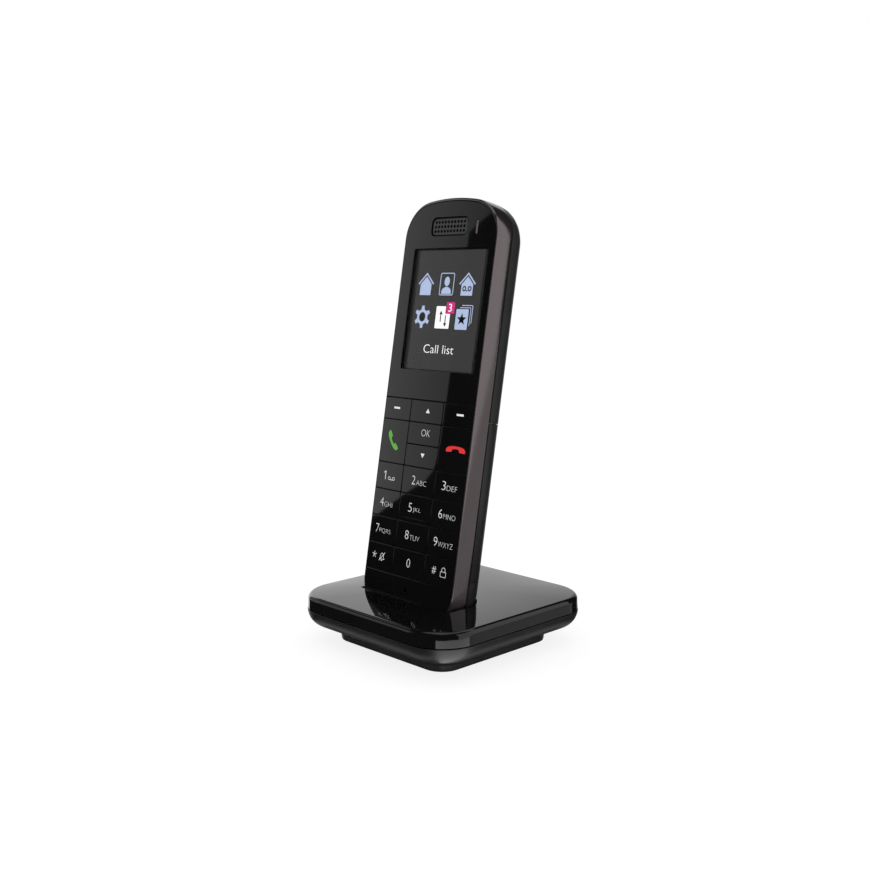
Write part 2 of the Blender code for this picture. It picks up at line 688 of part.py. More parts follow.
def fill_rear_hollow(bm):
    """The room behind the circuit board, above the battery bay."""
    wall = HANDSET_WALL
    rings = [upright(handset_loop(INNER_SIDE + wall), 0.0)]
    rings += [back_ring(share, -wall) for share in BACK_SHARES[3:]]
    add_loft(bm, rings)


def fill_upper_room(bm):
    low = COVER_TOP + HANDSET_WALL
    add_box(bm, (-HANDSET_WIDTH, -5, low), (HANDSET_WIDTH, 40, HANDSET_LENGTH))


def fill_battery_bay(bm):
    """All of the back between the ends of the battery cover, behind the bay's floor."""
    add_box(bm, (-HANDSET_WIDTH, FLOOR_BACK, COVER_BOTTOM), (HANDSET_WIDTH, 40, COVER_TOP))


def fill_bay_screw_holes(bm):
    for x, z in HANDSET_SCREWS:
        plain_rod(bm, (x, 0, z), (x, FLOOR_BACK + 1, z), SCREW_RADIUS + GAP, 12)


def fill_bottom_room(bm):
    """A hollow in the bottom end, over the two charging contacts."""
    low = HANDSET_BOTTOM + 2.5
    half_x, half_y = CONTACT_WIDTH / 2 + GAP, CONTACT_THICKNESS / 2 + GAP
    reach = CONTACT_X + half_x + 1.0
    add_box(bm, (-reach, -5, low), (reach, CONTACT_DEPTH + half_y + 1.0, COVER_BOTTOM - HANDSET_WALL))


def fill_contact_slots(bm):
    half_x, half_y = CONTACT_WIDTH / 2 + GAP, CONTACT_THICKNESS / 2 + GAP
    for x in (-CONTACT_X, CONTACT_X):
        add_box(bm, (x - half_x, CONTACT_DEPTH - half_y, HANDSET_BOTTOM - 5),
                (x + half_x, CONTACT_DEPTH + half_y, HANDSET_BOTTOM + 3.5))


def fill_speaker_slots(bm):
    half_x, half_z = SLOT_LENGTH / 2, SLOT_WIDTH / 2
    for i in range(SPEAKER_SLOTS):
        z = SPEAKER_HEIGHT + (i - (SPEAKER_SLOTS - 1) / 2) * SLOT_PITCH
        add_box(bm, (-half_x, BACK_SKIN - 2 * HANDSET_WALL, z - half_z), (half_x, BACK_SKIN + 1, z + half_z))


def fill_battery_cover(bm):
    wall = HANDSET_WALL
    rim = FRAME_DEPTH + GAP
    outer = [upright(handset_loop(0.0), rim)] + [back_ring(share) for share in BACK_SHARES[1:]]
    inner = [back_ring(share, -wall) for share in BACK_SHARES[2:]]
    add_loft(bm, inner[::-1] + [upright(handset_loop(wall), rim)] + outer)


def fill_cover_room(bm):
    add_box(bm, (-HANDSET_WIDTH, -5, COVER_BOTTOM + GAP / 2), (HANDSET_WIDTH, 40, COVER_TOP - GAP / 2))


def fill_cell(bm, x):
    top = CELL_BOTTOM + CELL_LENGTH
    add_rod(bm, (x, CELL_DEPTH, CELL_BOTTOM), (x, CELL_DEPTH, top),
            [(0, CELL_RADIUS - 0.5), (0.01, CELL_RADIUS), (0.97, CELL_RADIUS), (0.97, 1.9), (1, 1.9)], 20)


def fill_cell_contacts(bm, z):
    half_x = 2 * CELL_RADIUS - 0.5
    low = FLOOR_BACK + GAP
    add_box(bm, (-half_x, low, z), (half_x, low + 1.5 * CELL_RADIUS, z + CELL_CONTACT))


def fill_charge_contact(bm, x):
    half_x, half_y = CONTACT_WIDTH / 2, CONTACT_THICKNESS / 2
    add_box(bm, (x - half_x, CONTACT_DEPTH - half_y, CONTACT_BOTTOM),
            (x + half_x, CONTACT_DEPTH + half_y, CONTACT_BOTTOM + 1.2))


def fill_pin(bm, x):
    """A round-nosed pin that stops its travel short of the base's circuit board."""
    top = CONTACT_BOTTOM - GAP
    room = height_above_table(CONTACT_DEPTH + PIN_RADIUS, top) - BASE_BOARD_TOP - GAP
    length = room / math.cos(HANDSET_LEAN) - PIN_TRAVEL
    add_rod(bm, (x, CONTACT_DEPTH, top - length), (x, CONTACT_DEPTH, top),
            [(0, PIN_RADIUS), (0.8, PIN_RADIUS), (0.93, 0.8 * PIN_RADIUS), (1, 0.4 * PIN_RADIUS)], 12)


def fill_pin_holes(bm):
    low = HANDSET_BOTTOM - FIT - 2 * CUP_WALL
    for x in (-CONTACT_X, CONTACT_X):
        plain_rod(bm, (x, CONTACT_DEPTH, low), (x, CONTACT_DEPTH, HANDSET_BOTTOM + 2), PIN_RADIUS + GAP, 12)


# ---------------------------------------------------------------- assembly

def build_base(docked):
    gloss = make_material("gloss_black_plastic", (0.008, 0.008, 0.009), 0.06)
    satin = make_material("satin_black_plastic", (0.014, 0.014, 0.015), 0.38)
    board = make_material("green_circuit_board", (0.02, 0.11, 0.05), 0.45)
    steel = make_material("zinc_plated_steel", (0.62, 0.62, 0.6), 0.35, 1.0)
    gold = make_material("gold_plated_brass", (0.83, 0.62, 0.28), 0.25, 1.0)
    rubber = make_material("grey_rubber", (0.06, 0.06, 0.06), 0.85)

    top = place("base_top_shell", fill_top_shell, gloss)
    cup = place_tool("cup_wall", fill_cup, docked)
    combine(cup, place_tool("cup_room", fill_cup_room), "INTERSECT")
    combine(top, cup, "UNION")
    combine(top, place_tool("base_bosses", fill_base_bosses), "UNION")
    combine(top, place_tool("pocket", fill_pocket, docked), "DIFFERENCE")
    combine(top, place_tool("base_pilots", fill_base_pilots), "DIFFERENCE")
    combine(top, place_tool("pin_holes", fill_pin_holes, docked), "DIFFERENCE")

    lower = place("base_lower_shell", fill_lower_shell, satin)
    combine(lower, place_tool("base_recesses", fill_base_recesses), "DIFFERENCE")

    place("base_circuit_board", fill_base_board, board)
    place("base_ballast", fill_ballast, steel)
    inlet = place("base_power_inlet", fill_inlet, satin)
    combine(inlet, place_tool("inlet_socket", fill_inlet_socket), "DIFFERENCE")

    for side, x in (("left", -CONTACT_X), ("right", CONTACT_X)):
        origin = (x, CONTACT_DEPTH, CONTACT_BOTTOM)
        place("charge_pin_" + side, lambda bm: fill_pin(bm, x), gold, docked, origin)

    for corner, (x, y) in zip(BASE_CORNERS, BASE_FEET):
        foot = (x, y, 0)
        place("base_foot_" + corner, lambda bm: plain_rod(bm, foot, (x, y, FOOT_HEIGHT), FOOT_RADIUS),
              rubber, None, foot)
    for corner, (x, y) in zip(BASE_CORNERS, BASE_SCREWS):
        head = (x, y, PLINTH_BOTTOM + 0.1)
        place("base_screw_" + corner, lambda bm: add_screw(bm, head, (0, 0, 1), BASE_SCREW_LENGTH),
              steel, None, head)


def build_handset(handset):
    gloss = make_material("gloss_black_front", (0.006, 0.006, 0.007), 0.05)
    lens = make_material("clear_lens", (0.03, 0.03, 0.03), 0.03)
    metal = make_material("warm_grey_metallic_paint", (0.16, 0.135, 0.14), 0.32, 0.8)
    satin = make_material("satin_grey_plastic", (0.03, 0.032, 0.033), 0.36)
    inner = make_material("black_housing_plastic", (0.012, 0.012, 0.012), 0.5)
    board = make_material("handset_circuit_board", (0.02, 0.1, 0.05), 0.45)
    silicone = make_material("silicone_key_mat", (0.28, 0.29, 0.3), 0.7)
    grille = make_material("grille_grey", (0.12, 0.12, 0.125), 0.4)
    steel = make_material("steel", (0.6, 0.6, 0.58), 0.35, 1.0)
    gold = make_material("gold_plating", (0.83, 0.62, 0.28), 0.25, 1.0)
    glass = make_material("display_glass", (0.03, 0.029, 0.027), 0.08)
    light = make_material("light_guide", (0.5, 0.46, 0.42), 0.3)
    cell = make_material("cell_wrap", (0.12, 0.3, 0.16), 0.35)

    place("side_frame", fill_side_frame, metal, handset)
    front = place("front_housing", fill_front_housing, inner, handset)
    combine(front, place_tool("housing_bosses", fill_housing_bosses, handset), "UNION")
    combine(front, place_tool("housing_openings", fill_housing_openings, handset), "DIFFERENCE")
    mic_hole = place_tool("mic_hole", fill_mic_hole, handset)
    combine(front, mic_hole, "DIFFERENCE")
    display_lens = place("display_lens", fill_lens, lens, handset)
    combine(display_lens, place_tool("lens_openings", fill_lens_openings, handset), "DIFFERENCE")
    chin = place("chin_panel", fill_chin, gloss, handset)
    combine(chin, mic_hole, "DIFFERENCE")

    for name, left, right, low, high in key_places():
        origin = ((left + right) / 2, KEY_DEPTH, (low + high) / 2)
        place(name, lambda bm: fill_key(bm, left, right, low, high), gloss, handset, origin)
    mat = place("key_mat", fill_key_mat, silicone, handset)
    combine(mat, place_tool("mat_holes", fill_mat_holes, handset), "DIFFERENCE")

    place("display_module", fill_display, glass, handset)
    main_board = place("handset_circuit_board", fill_board, board, handset)
    combine(main_board, place_tool("board_holes", fill_board_holes, handset), "DIFFERENCE")
    ear = place("earpiece_grille", fill_grille, grille, handset)
    combine(ear, place_tool("grille_holes", fill_grille_holes, handset), "DIFFERENCE")
    place("earpiece", fill_earpiece, steel, handset)
    place("status_light", fill_light, light, handset)
    place("microphone", fill_microphone, steel, handset)
    place("loudspeaker", fill_speaker, inner, handset)
    place("aerial", fill_aerial, steel, handset)

    rear = place("rear_housing", fill_rear_housing, satin, handset)
    hollow = place_tool("rear_hollow", fill_rear_hollow, handset)
    combine(hollow, place_tool("upper_room", fill_upper_room, handset), "INTERSECT")
    combine(rear, hollow, "DIFFERENCE")
    combine(rear, place_tool("battery_bay", fill_battery_bay, handset), "DIFFERENCE")
    combine(rear, place_tool("bay_screw_holes", fill_bay_screw_holes, handset), "DIFFERENCE")
    combine(rear, place_tool("bottom_room", fill_bottom_room, handset), "DIFFERENCE")
    combine(rear, place_tool("contact_slots", fill_contact_slots, handset), "DIFFERENCE")
    combine(rear, place_tool("speaker_slots", fill_speaker_slots, handset), "DIFFERENCE")
    cover_origin = (0, FRAME_DEPTH, (COVER_BOTTOM + COVER_TOP) / 2)
    cover = place("battery_cover", fill_battery_cover, satin, handset, cover_origin)
    combine(cover, place_tool("cover_room", fill_cover_room, handset), "INTERSECT")

    for side, sign in (("left", -1), ("right", 1)):
        x = sign * (CELL_RADIUS + GAP)
        end = (x, CELL_DEPTH, CELL_BOTTOM)
        place("battery_cell_" + side, lambda bm: fill_cell(bm, x), cell, handset, end)
        place("charge_contact_" + side, lambda bm: fill_charge_contact(bm, sign * CONTACT_X), gold, handset)
    bottom = CELL_BOTTOM - GAP - CELL_CONTACT
    place("battery_contacts_bottom", lambda bm: fill_cell_contacts(bm, bottom), steel, handset)
    top = CELL_BOTTOM + CELL_LENGTH + GAP
    place("battery_contacts_top", lambda bm: fill_cell_contacts(bm, top), steel, handset)
    for name, (x, z) in zip(("lower_left", "upper_left", "lower_right", "upper_right"), HANDSET_SCREWS):
        head = (x, FLOOR_BACK + SCREW_HEAD_HEIGHT + 0.1, z)
        place("handset_screw_" + name, lambda bm: add_screw(bm, head, (0, -1, 0), 5.0), steel, handset, head)


for leftover in list(bpy.data.objects):
    bpy.data.objects.remove(leftover, do_unlink=True)

docked_frame = bpy.data.objects.new("handset_frame", None)
bpy.context.scene.collection.objects.link(docked_frame)
docked_frame.location = Vector((0, HANDSET_FRONT_Y, FRONT_HEIGHT)) * MM
docked_frame.rotation_euler = (-HANDSET_LEAN, 0, 0)

build_base(docked_frame)
build_handset(docked_frame)
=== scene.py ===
"""A cordless telephone handset standing in its charging base, dressed for the studio.

The sections follow the phone as it is put together: the base from its feet up, then the handset from
its front to its battery cover. Sizes are in millimetres and become metres as each piece is placed.
"""
import json
import math

import bmesh
import bpy
from mathutils import Matrix, Vector


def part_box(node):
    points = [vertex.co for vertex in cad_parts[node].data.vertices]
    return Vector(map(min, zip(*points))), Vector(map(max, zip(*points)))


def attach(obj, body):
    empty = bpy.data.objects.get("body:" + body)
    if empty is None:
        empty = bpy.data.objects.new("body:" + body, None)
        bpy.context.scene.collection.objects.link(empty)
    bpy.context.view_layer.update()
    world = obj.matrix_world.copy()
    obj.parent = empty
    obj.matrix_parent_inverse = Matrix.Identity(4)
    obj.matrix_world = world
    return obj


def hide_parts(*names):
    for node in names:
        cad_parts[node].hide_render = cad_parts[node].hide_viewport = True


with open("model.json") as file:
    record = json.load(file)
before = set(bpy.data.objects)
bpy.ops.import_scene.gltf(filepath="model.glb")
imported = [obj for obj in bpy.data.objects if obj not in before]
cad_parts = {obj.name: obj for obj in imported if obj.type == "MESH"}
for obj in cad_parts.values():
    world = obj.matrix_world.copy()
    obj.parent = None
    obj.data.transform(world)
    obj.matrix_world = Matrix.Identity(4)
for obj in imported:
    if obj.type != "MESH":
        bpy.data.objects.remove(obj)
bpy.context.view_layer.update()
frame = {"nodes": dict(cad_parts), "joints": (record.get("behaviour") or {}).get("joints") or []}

MM = 0.001
scene = bpy.context.scene

# ------------------------------------------------------------------ studio
# A pale table under an even white tent. The tent is what lights the table and the matt surfaces, and a
# few soft cards, seen only in the gloss, draw the reflections that give the black plastic its form.

camera = bpy.data.objects.new("camera", bpy.data.cameras.new("camera"))
scene.collection.objects.link(camera)
camera.location = (0.2903, -0.2859, 0.1333)
camera.rotation_euler = (math.radians(90 - 7.84), 0, math.radians(45.84))
camera.data.lens = 46.37
camera.data.sensor_width = 36
scene.camera = camera
scene.view_settings.view_transform = "Standard"


def node_tree(material):
    """Clear a material or world and return its tree and a function that adds nodes to it."""
    material.use_nodes = True
    tree = material.node_tree
    tree.nodes.clear()

    def add(kind, inputs=None, **settings):
        node = tree.nodes.new("ShaderNode" + kind)
        for name, value in settings.items():
            setattr(node, name, value)
        for name, value in (inputs or {}).items():
            if isinstance(value, bpy.types.NodeSocket):
                tree.links.new(value, node.inputs[name])
            else:
                node.inputs[name].default_value = value
        return node

    return tree, add


tent = bpy.data.worlds.new("white_tent")
scene.world = tent
tree, add = node_tree(tent)
ray = add("LightPath")
white = add("Background", {"Color": (1, 1, 1, 1), "Strength": 1.0})
dim = add("Background", {"Color": (1, 1, 1, 1), "Strength": 0.012})
seen = add("MixShader", {0: ray.outputs["Is Glossy Ray"], 1: white.outputs[0], 2: dim.outputs[0]})
add("OutputWorld", {"Surface": seen.outputs[0]})


def finish_material(name, build):
    """Make a material; build adds its nodes and returns the surface shader."""
    material = bpy.data.materials.new(name)
    tree, add = node_tree(material)
    shader = build(add)
    add("OutputMaterial", {"Surface": shader.outputs[0]})
    return material


def mottle(add, scale, dark, light, detail=2.0, spread=0.0):
    """Sockets for the place, a cloudy noise over it, and a colour that wanders from dark to light."""
    place = add("TexCoord").outputs["Object"]
    cloud = add("TexNoise", {"Vector": place, "Scale": scale, "Detail": detail}).outputs["Fac"]
    tone = add("ValToRGB", {"Fac": cloud})
    for element, position, colour in zip(tone.color_ramp.elements, (spread, 1 - spread), (dark, light)):
        element.position = position
        element.color = (*colour, 1)
    return place, cloud, tone.outputs["Color"]


def table_top(add):
    """A white table that glows a little by itself, so that shadows on it stay faint."""
    tone = mottle(add, 900.0, (0.2, 0.2, 0.2), (0.22, 0.22, 0.22), 4.0)[2]
    matt = add("BsdfDiffuse", {"Color": tone})
    glow = add("Emission", {"Strength": 0.83})
    return add("AddShader", {0: matt.outputs[0], 1: glow.outputs[0]})


def stand_in_studio(thing, camera_sees, gloss_sees):
    """Stage a floor or card, and say which rays find it."""
    scene.collection.objects.link(thing)
    thing.visible_camera = camera_sees
    thing.visible_glossy = gloss_sees
    if not camera_sees:
        thing.visible_diffuse = False
        thing.visible_shadow = False
        thing.visible_transmission = False


def sheet_mesh(name, corners, material):
    mesh = bpy.data.meshes.new(name)
    mesh.from_pydata(corners, [], [tuple(range(len(corners)))])
    mesh.materials.append(material)
    return bpy.data.objects.new(name, mesh)


FLOOR_REACH = 6.0
floor = sheet_mesh("floor", [(x * FLOOR_REACH, y * FLOOR_REACH, 0)
                             for x, y in ((-1, -1), (1, -1), (1, 1), (-1, 1))],
                   finish_material("pale_table", table_top))
stand_in_studio(floor, True, False)


def card(name, corners, strength, fade=None, low=1.0):
    """A glowing card, seen only in reflections. Across it the glow goes from strength to fade, and
    down it to a share of that."""
    def glow(add):
        place = add("TexCoord")
        along = add("SeparateXYZ", {"Vector": place.outputs["Generated"]})
        end = strength if fade is None else fade
        across = add("MapRange", {"Value": along.outputs["X"], "To Min": strength, "To Max": end})
        down = add("MapRange", {"Value": along.outputs["Z"], "To Min": low, "To Max": 1.0})
        both = add("Math", {0: across.outputs[0], 1: down.outputs[0]}, operation="MULTIPLY")
        return add("Emission", {"Strength": both.outputs[0]})
    stand_in_studio(sheet_mesh(name, corners, finish_material(name, glow)), False, True)


CARD_DISTANCE = 30.0


def far(*corners):
    """Corners of a distant card: degrees round from the phone's front to its right, degrees up."""
    return [(CARD_DISTANCE * math.sin(math.radians(turn)) * math.cos(math.radians(up)),
             -CARD_DISTANCE * math.cos(math.radians(turn)) * math.cos(math.radians(up)),
             CARD_DISTANCE * math.sin(math.radians(up))) for turn, up in corners]


card("front_card", far((-33, 28), (-37.4, 19.4), (-43.4, 17), (-42.6, 6), (-43.2, 4.6), (-44.5, 3.8),
                       (-47.5, 2.8), (-53, 0.75), (-64, -2.5), (-64, 28)), 1.1, 0.1)
card("left_card", far((-66, -6), (-66, 46), (-92, 46), (-92, -6)), 0.5)
card("back_card", far((-96, -24), (-96, 33), (-130, 34), (-158, 32), (-170, 24), (-170, -24)), 2.5, 0.1, 0.55)
card("side_card", far((88, -9.4), (125, -9.4), (144, -3), (146.7, 12.7), (159, 41), (120, 45), (88, 45)), 0.9)
card("side_low_card", far((96, -9.4), (125, -9.4), (144, -3), (158, -3), (158, -16.4), (96, -16.4)), 0.44)
card("table_glow", [(0.030, -0.030, -0.001), (0.085, -0.125, -0.001), (0.14, -0.07, -0.001),
                    (0.127, 0.022, -0.001)], 2.4, 1.2)
card("high_card", far((150, 42), (150, 64), (215, 64), (215, 42)), 0.8)
for side in range(4):
    quarter = Matrix.Rotation(side * math.pi / 2, 3, "Z")
    card("under_card_" + str(side), [tuple(quarter @ Vector(corner)) for corner in
                                     ((-0.044, -0.046, -0.004), (0.044, -0.046, -0.004),
                                      (0.036, -0.038, -0.004), (-0.036, -0.038, -0.004))], 0.6)
card("ceiling_card", [(-0.6, -0.6, 1.6), (0.6, -0.6, 1.6), (0.6, 0.6, 1.6), (-0.6, 0.6, 1.6)], 0.9)

# ------------------------------------------------------------------ lower base shell
# The underside of the base is one satin black ABS moulding: a rounded belly that slopes in to a small
# square plinth. It is closed by four screws and stands on four rubber feet pressed into the plinth.

BASE_HALF = 40.15
BASE_CORNER = 15.0
SEAM = 12.5
SEAM_GAP = 0.3
BELLY_RADIUS = 6.5
BELLY_SLOPE = math.radians(22)
PLINTH_HALF = 29.0
PLINTH_CORNER = 7.6
PLINTH_BOTTOM = 0.25
BASE_WALL = 1.8
EDGE_BREAK = 0.12
FOOT_SEAT = 1.3


def square_ring(half, corner, z, per_corner=10, per_side=6):
    """A square with round corners, anticlockwise from the middle of its right corner zone."""
    inner = half - corner
    points = []
    for turn in range(4):
        start = turn * math.pi / 2
        sx, sy = (1, -1, -1, 1)[turn], (1, 1, -1, -1)[turn]
        for i in range(per_corner + 1):
            a = start + math.pi / 2 * i / per_corner
            points.append(Vector((sx * inner + corner * math.cos(a), sy * inner + corner * math.sin(a), z)))
        along = Vector((-sx, 0, 0)) if turn % 2 == 0 else Vector((0, -sy, 0))
        for i in range(1, per_side):
            points.append(points[-1] + along * (2 * inner / per_side))
    return points


def skin(bm, rings, close_start=True, close_end=True):
    """Skin between rings of equally many points."""
    loops = [[bm.verts.new(Vector(p) * MM) for p in ring] for ring in rings]
    count = len(loops[0])
    for first, second in zip(loops, loops[1:]):
        for i in range(count):
            j = (i + 1) % count
            bm.faces.new((first[i], first[j], second[j], second[i]))
    if close_start:
        bm.faces.new(loops[0][::-1])
    if close_end:
        bm.faces.new(loops[-1])
    return loops


def piece_from(name, fill, material, frame_matrix=None, sharp=35):
    """Make a piece whose shape fill(bm) draws."""
    bm = bmesh.new()
    fill(bm)
    bmesh.ops.recalc_face_normals(bm, faces=bm.faces)
    mesh = bpy.data.meshes.new(name)
    bm.to_mesh(mesh)
    bm.free()
    mesh.shade_smooth()
    mesh.set_sharp_from_angle(angle=math.radians(sharp))
    if material:
        mesh.materials.append(material)
    thing = bpy.data.objects.new(name, mesh)
    scene.collection.objects.link(thing)
    if frame_matrix:
        thing.matrix_world = frame_matrix
    return thing


def settle(thing, sharp=35):
    """Turn a piece's modifiers into its mesh."""
    bpy.context.view_layer.update()
    solid = thing.evaluated_get(bpy.context.evaluated_depsgraph_get())
    mesh = bpy.data.meshes.new_from_object(solid)
    mesh.name = thing.name
    thing.modifiers.clear()
    thing.data = mesh
    mesh.shade_smooth()
    mesh.set_sharp_from_angle(angle=math.radians(sharp))


def carve(thing, cutters, operation="DIFFERENCE", sharp=35):
    """Cut or join other shapes into a piece, and throw the tools away."""
    for cutter in cutters:
        modifier = thing.modifiers.new(cutter.name, "BOOLEAN")
        modifier.operation = operation
        modifier.solver = "EXACT"
        if cutter.data.materials:
            modifier.material_mode = "TRANSFER"
        modifier.object = cutter
    settle(thing, sharp)
    for cutter in cutters:
        bpy.data.objects.remove(cutter)


def add_block(bm, low, high):
    loop = [(low[0], low[1]), (high[0], low[1]), (high[0], high[1]), (low[0], high[1])]
    skin(bm, [[(x, y, low[2]) for x, y in loop], [(x, y, high[2]) for x, y in loop]])


def add_round(bm, start, end, stations, sides=24):
    """A turned shape from start to end; stations are (share of the length, radius)."""
    start, end = Vector(start), Vector(end)
    turn = (end - start).to_track_quat("Z", "Y")
    rings = []
    for share, radius in stations:
        middle = start.lerp(end, share)
        rings.append([middle + turn @ Vector((radius * math.cos(2 * math.pi * (i + 0.5) / sides),
                                              radius * math.sin(2 * math.pi * (i + 0.5) / sides), 0))
                      for i in range(sides)])
    skin(bm, rings)


def moulded(name, colour, roughness, grain, grain_size, fleck=0.15, coat=0.0, metallic=0.0, ior=1.5):
    """Moulded or painted plastic: slightly uneven colour and gloss over a fine moulded grain.
    grain is the depth of the grain and grain_size its spacing, both in mm."""
    def build(add):
        place, cloud, tone = mottle(add, 60.0, [c * (1 - fleck) for c in colour],
                                    [c * (1 + fleck) for c in colour], 5.0, 0.3)
        fine = add("TexNoise", {"Vector": place, "Scale": 1 / (grain_size * MM), "Detail": 3.0})
        gloss = add("MapRange", {"Value": cloud, "From Min": 0.3, "From Max": 0.7,
                                 "To Min": roughness * 0.88, "To Max": roughness * 1.12})
        bump = add("Bump", {"Height": fine.outputs["Fac"], "Strength": 1.0, "Distance": grain * MM})
        return add("BsdfPrincipled", {"Base Color": tone, "Roughness": gloss.outputs[0],
                                      "Metallic": metallic, "IOR": ior, "Coat Weight": coat,
                                      "Coat Roughness": 0.03, "Normal": bump.outputs["Normal"]})
    return finish_material(name, build)


def belly_rings(inset):
    """Rings of the lower shell's side from the seam down to the hollow above the plinth."""
    seam = SEAM - SEAM_GAP / 2
    turn = math.pi / 2 - BELLY_SLOPE
    radius = BELLY_RADIUS - inset
    middle = BASE_HALF - BELLY_RADIUS
    rings = []
    steps = 14
    for i in range(steps + 1):
        a = turn * i / steps
        half = middle + radius * math.cos(a)
        rings.append(square_ring(half, BASE_CORNER - (BASE_HALF - half), seam - radius * math.sin(a)))
    low_half = middle + radius * math.cos(turn)
    low_z = seam - radius * math.sin(turn)
    low_corner = BASE_CORNER - (BASE_HALF - low_half)
    for share in (0.3, 0.6, 0.85):
        half = low_half + (PLINTH_HALF + 1.0 - inset - low_half) * share
        corner = low_corner + (PLINTH_CORNER + 1.0 - low_corner) * share
        rings.append(square_ring(half, corner, low_z - (low_half - half) * math.tan(BELLY_SLOPE)))
    return rings


def draw_lower_shell(bm):
    seam = SEAM - SEAM_GAP / 2
    edge = [square_ring(BASE_HALF - EDGE_BREAK, BASE_CORNER - EDGE_BREAK, seam)]
    outer = belly_rings(0)
    outer[0] = square_ring(BASE_HALF, BASE_CORNER, seam - EDGE_BREAK)
    wall = [(0.85, 3.45), (0.5, 3.1), (0.3, 2.6), (0.2, 1.9), (0.05, 0.7), (-0.05, 0.4),
            (-0.3, PLINTH_BOTTOM)]
    outer += [square_ring(PLINTH_HALF + out, PLINTH_CORNER + out, z) for out, z in wall]
    inner = belly_rings(BASE_WALL)[:-1]
    inner.append(square_ring(PLINTH_HALF - BASE_WALL, PLINTH_CORNER - BASE_WALL, PLINTH_BOTTOM + BASE_WALL))
    skin(bm, inner[::-1] + edge + outer)


def draw_lower_openings(bm):
    """Seats for the feet and counterbores for the screws."""
    for node in frame["nodes"]:
        if node.startswith(("base_foot_", "base_screw_")):
            low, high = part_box(node)
            middle, radius = (low + high) / 2 / MM, (high.x - low.x) / 2 / MM + 0.3
            if node.startswith("base_foot_"):
                stations = [(0, radius), (1, radius)]
                add_round(bm, (middle.x, middle.y, -1), (middle.x, middle.y, FOOT_SEAT), stations, 48)
            else:
                stations = [(0, radius), (2.9 / 5, radius), (2.9 / 5, 1.3), (1, 1.3)]
                add_round(bm, (middle.x, middle.y, -1), (middle.x, middle.y, 4), stations, 32)
    low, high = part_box("base_power_inlet")
    low, high = low / MM, high / MM
    add_block(bm, (low.x - 0.3, low.y - 0.3, low.z - 0.3), (high.x + 0.3, BASE_HALF + 2, high.z + 0.3))


satin_black = moulded("satin_black_plastic", (0.012, 0.012, 0.0125), 0.4, 0.012, 0.25)
lower = piece_from("lower_base_shell", draw_lower_shell, satin_black)
carve(lower, [piece_from("lower_openings", draw_lower_openings, None)])
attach(lower, "base")
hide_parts("base_lower_shell")


def dress(nodes, material):
    """Give CAD nodes a worked-up material."""
    for node in nodes:
        for slot in frame["nodes"][node].material_slots:
            slot.material = material


def nodes_like(start):
    return [name for name in sorted(frame["nodes"]) if name.startswith(start)]


rubber = moulded("grey_rubber", (0.055, 0.055, 0.055), 0.8, 0.02, 0.15)
dress(nodes_like("base_foot_"), rubber)


def zinc_plate(add):
    """Bright zinc with a faint yellow bloom and fine turning marks."""
    place, cloud, tone = mottle(add, 300.0, (0.52, 0.51, 0.46), (0.68, 0.69, 0.7), 4.0)
    marks = add("TexWave", {"Vector": place, "Scale": 1500.0, "Distortion": 3.0})
    gloss = add("MapRange", {"Value": cloud, "To Min": 0.25, "To Max": 0.5})
    bump = add("Bump", {"Height": marks.outputs["Fac"], "Distance": 0.000004})
    return add("BsdfPrincipled", {"Base Color": tone, "Roughness": gloss.outputs[0],
                                  "Metallic": 1.0, "Normal": bump.outputs["Normal"]})


zinc = finish_material("zinc_steel", zinc_plate)
dress(nodes_like("base_screw_") + ["base_ballast"], zinc)
dress(["base_power_inlet"], satin_black)


def circuit_board(add):
    """Green solder mask over a faint pattern of copper tracks."""
    place = add("TexCoord")
    tracks = add("TexBrick", {"Vector": place.outputs["Object"], "Scale": 220.0,
                              "Color1": (0.012, 0.07, 0.03, 1), "Color2": (0.016, 0.085, 0.037, 1),
                              "Mortar": (0.03, 0.14, 0.06, 1), "Mortar Size": 0.03})
    cloud = add("TexNoise", {"Vector": place.outputs["Object"], "Scale": 400.0})
    gloss = add("MapRange", {"Value": cloud.outputs["Fac"], "To Min": 0.3, "To Max": 0.5})
    bump = add("Bump", {"Height": tracks.outputs["Fac"], "Distance": 0.00003})
    return add("BsdfPrincipled", {"Base Color": tracks.outputs["Color"], "Roughness": gloss.outputs[0],
                                  "Normal": bump.outputs["Normal"]})


board_green = finish_material("circuit_board", circuit_board)
dress(["base_circuit_board"], board_green)

# ------------------------------------------------------------------ upper base shell
# The upper shell is moulded in high-gloss black: a gently domed plate with a tight rounded edge. The
# pocket for the handset is drawn down into it, with two sprung gold pins standing in its floor.

TOP_EDGE = 39.3
TOP_EDGE_HEIGHT = 18.0
TOP_CROWN = 1.5
EDGE_START = 38.45
EDGE_ROUND = 1.6
EDGE_DROP = 2.0
FIT = 0.5

HANDSET_HALF = 23.5
HANDSET_LENGTH = 155.4
HANDSET_CORNER = 13.5
END_ARCH = 80.0
BAND_DEPTH = 8.5
BACK_DEPTH = 14.1
BACK_FULLNESS = 2.3
BACK_END_ROUND = 25.0

lift = next(joint for joint in frame["joints"] if joint["name"] == "handset_lift")
lean = math.atan2(lift["axis"][1], lift["axis"][2])
leaning = Matrix.Rotation(-lean, 4, "X")


def lean_box(node):
    """A node's lowest and highest corners along the handset's own axes."""
    upright = leaning.inverted()
    corners = [upright @ v.co for v in frame["nodes"][node].data.vertices]
    return (Vector([min(c[i] for c in corners) for i in range(3)]),
            Vector([max(c[i] for c in corners) for i in range(3)]))


# x runs across the handset, y from its glossy front to its back and z up it from its bottom end
handset_frame = leaning @ Matrix.Translation(Vector((0, lean_box("side_frame")[0].y,
                                                     lean_box("side_frame")[0].z)))


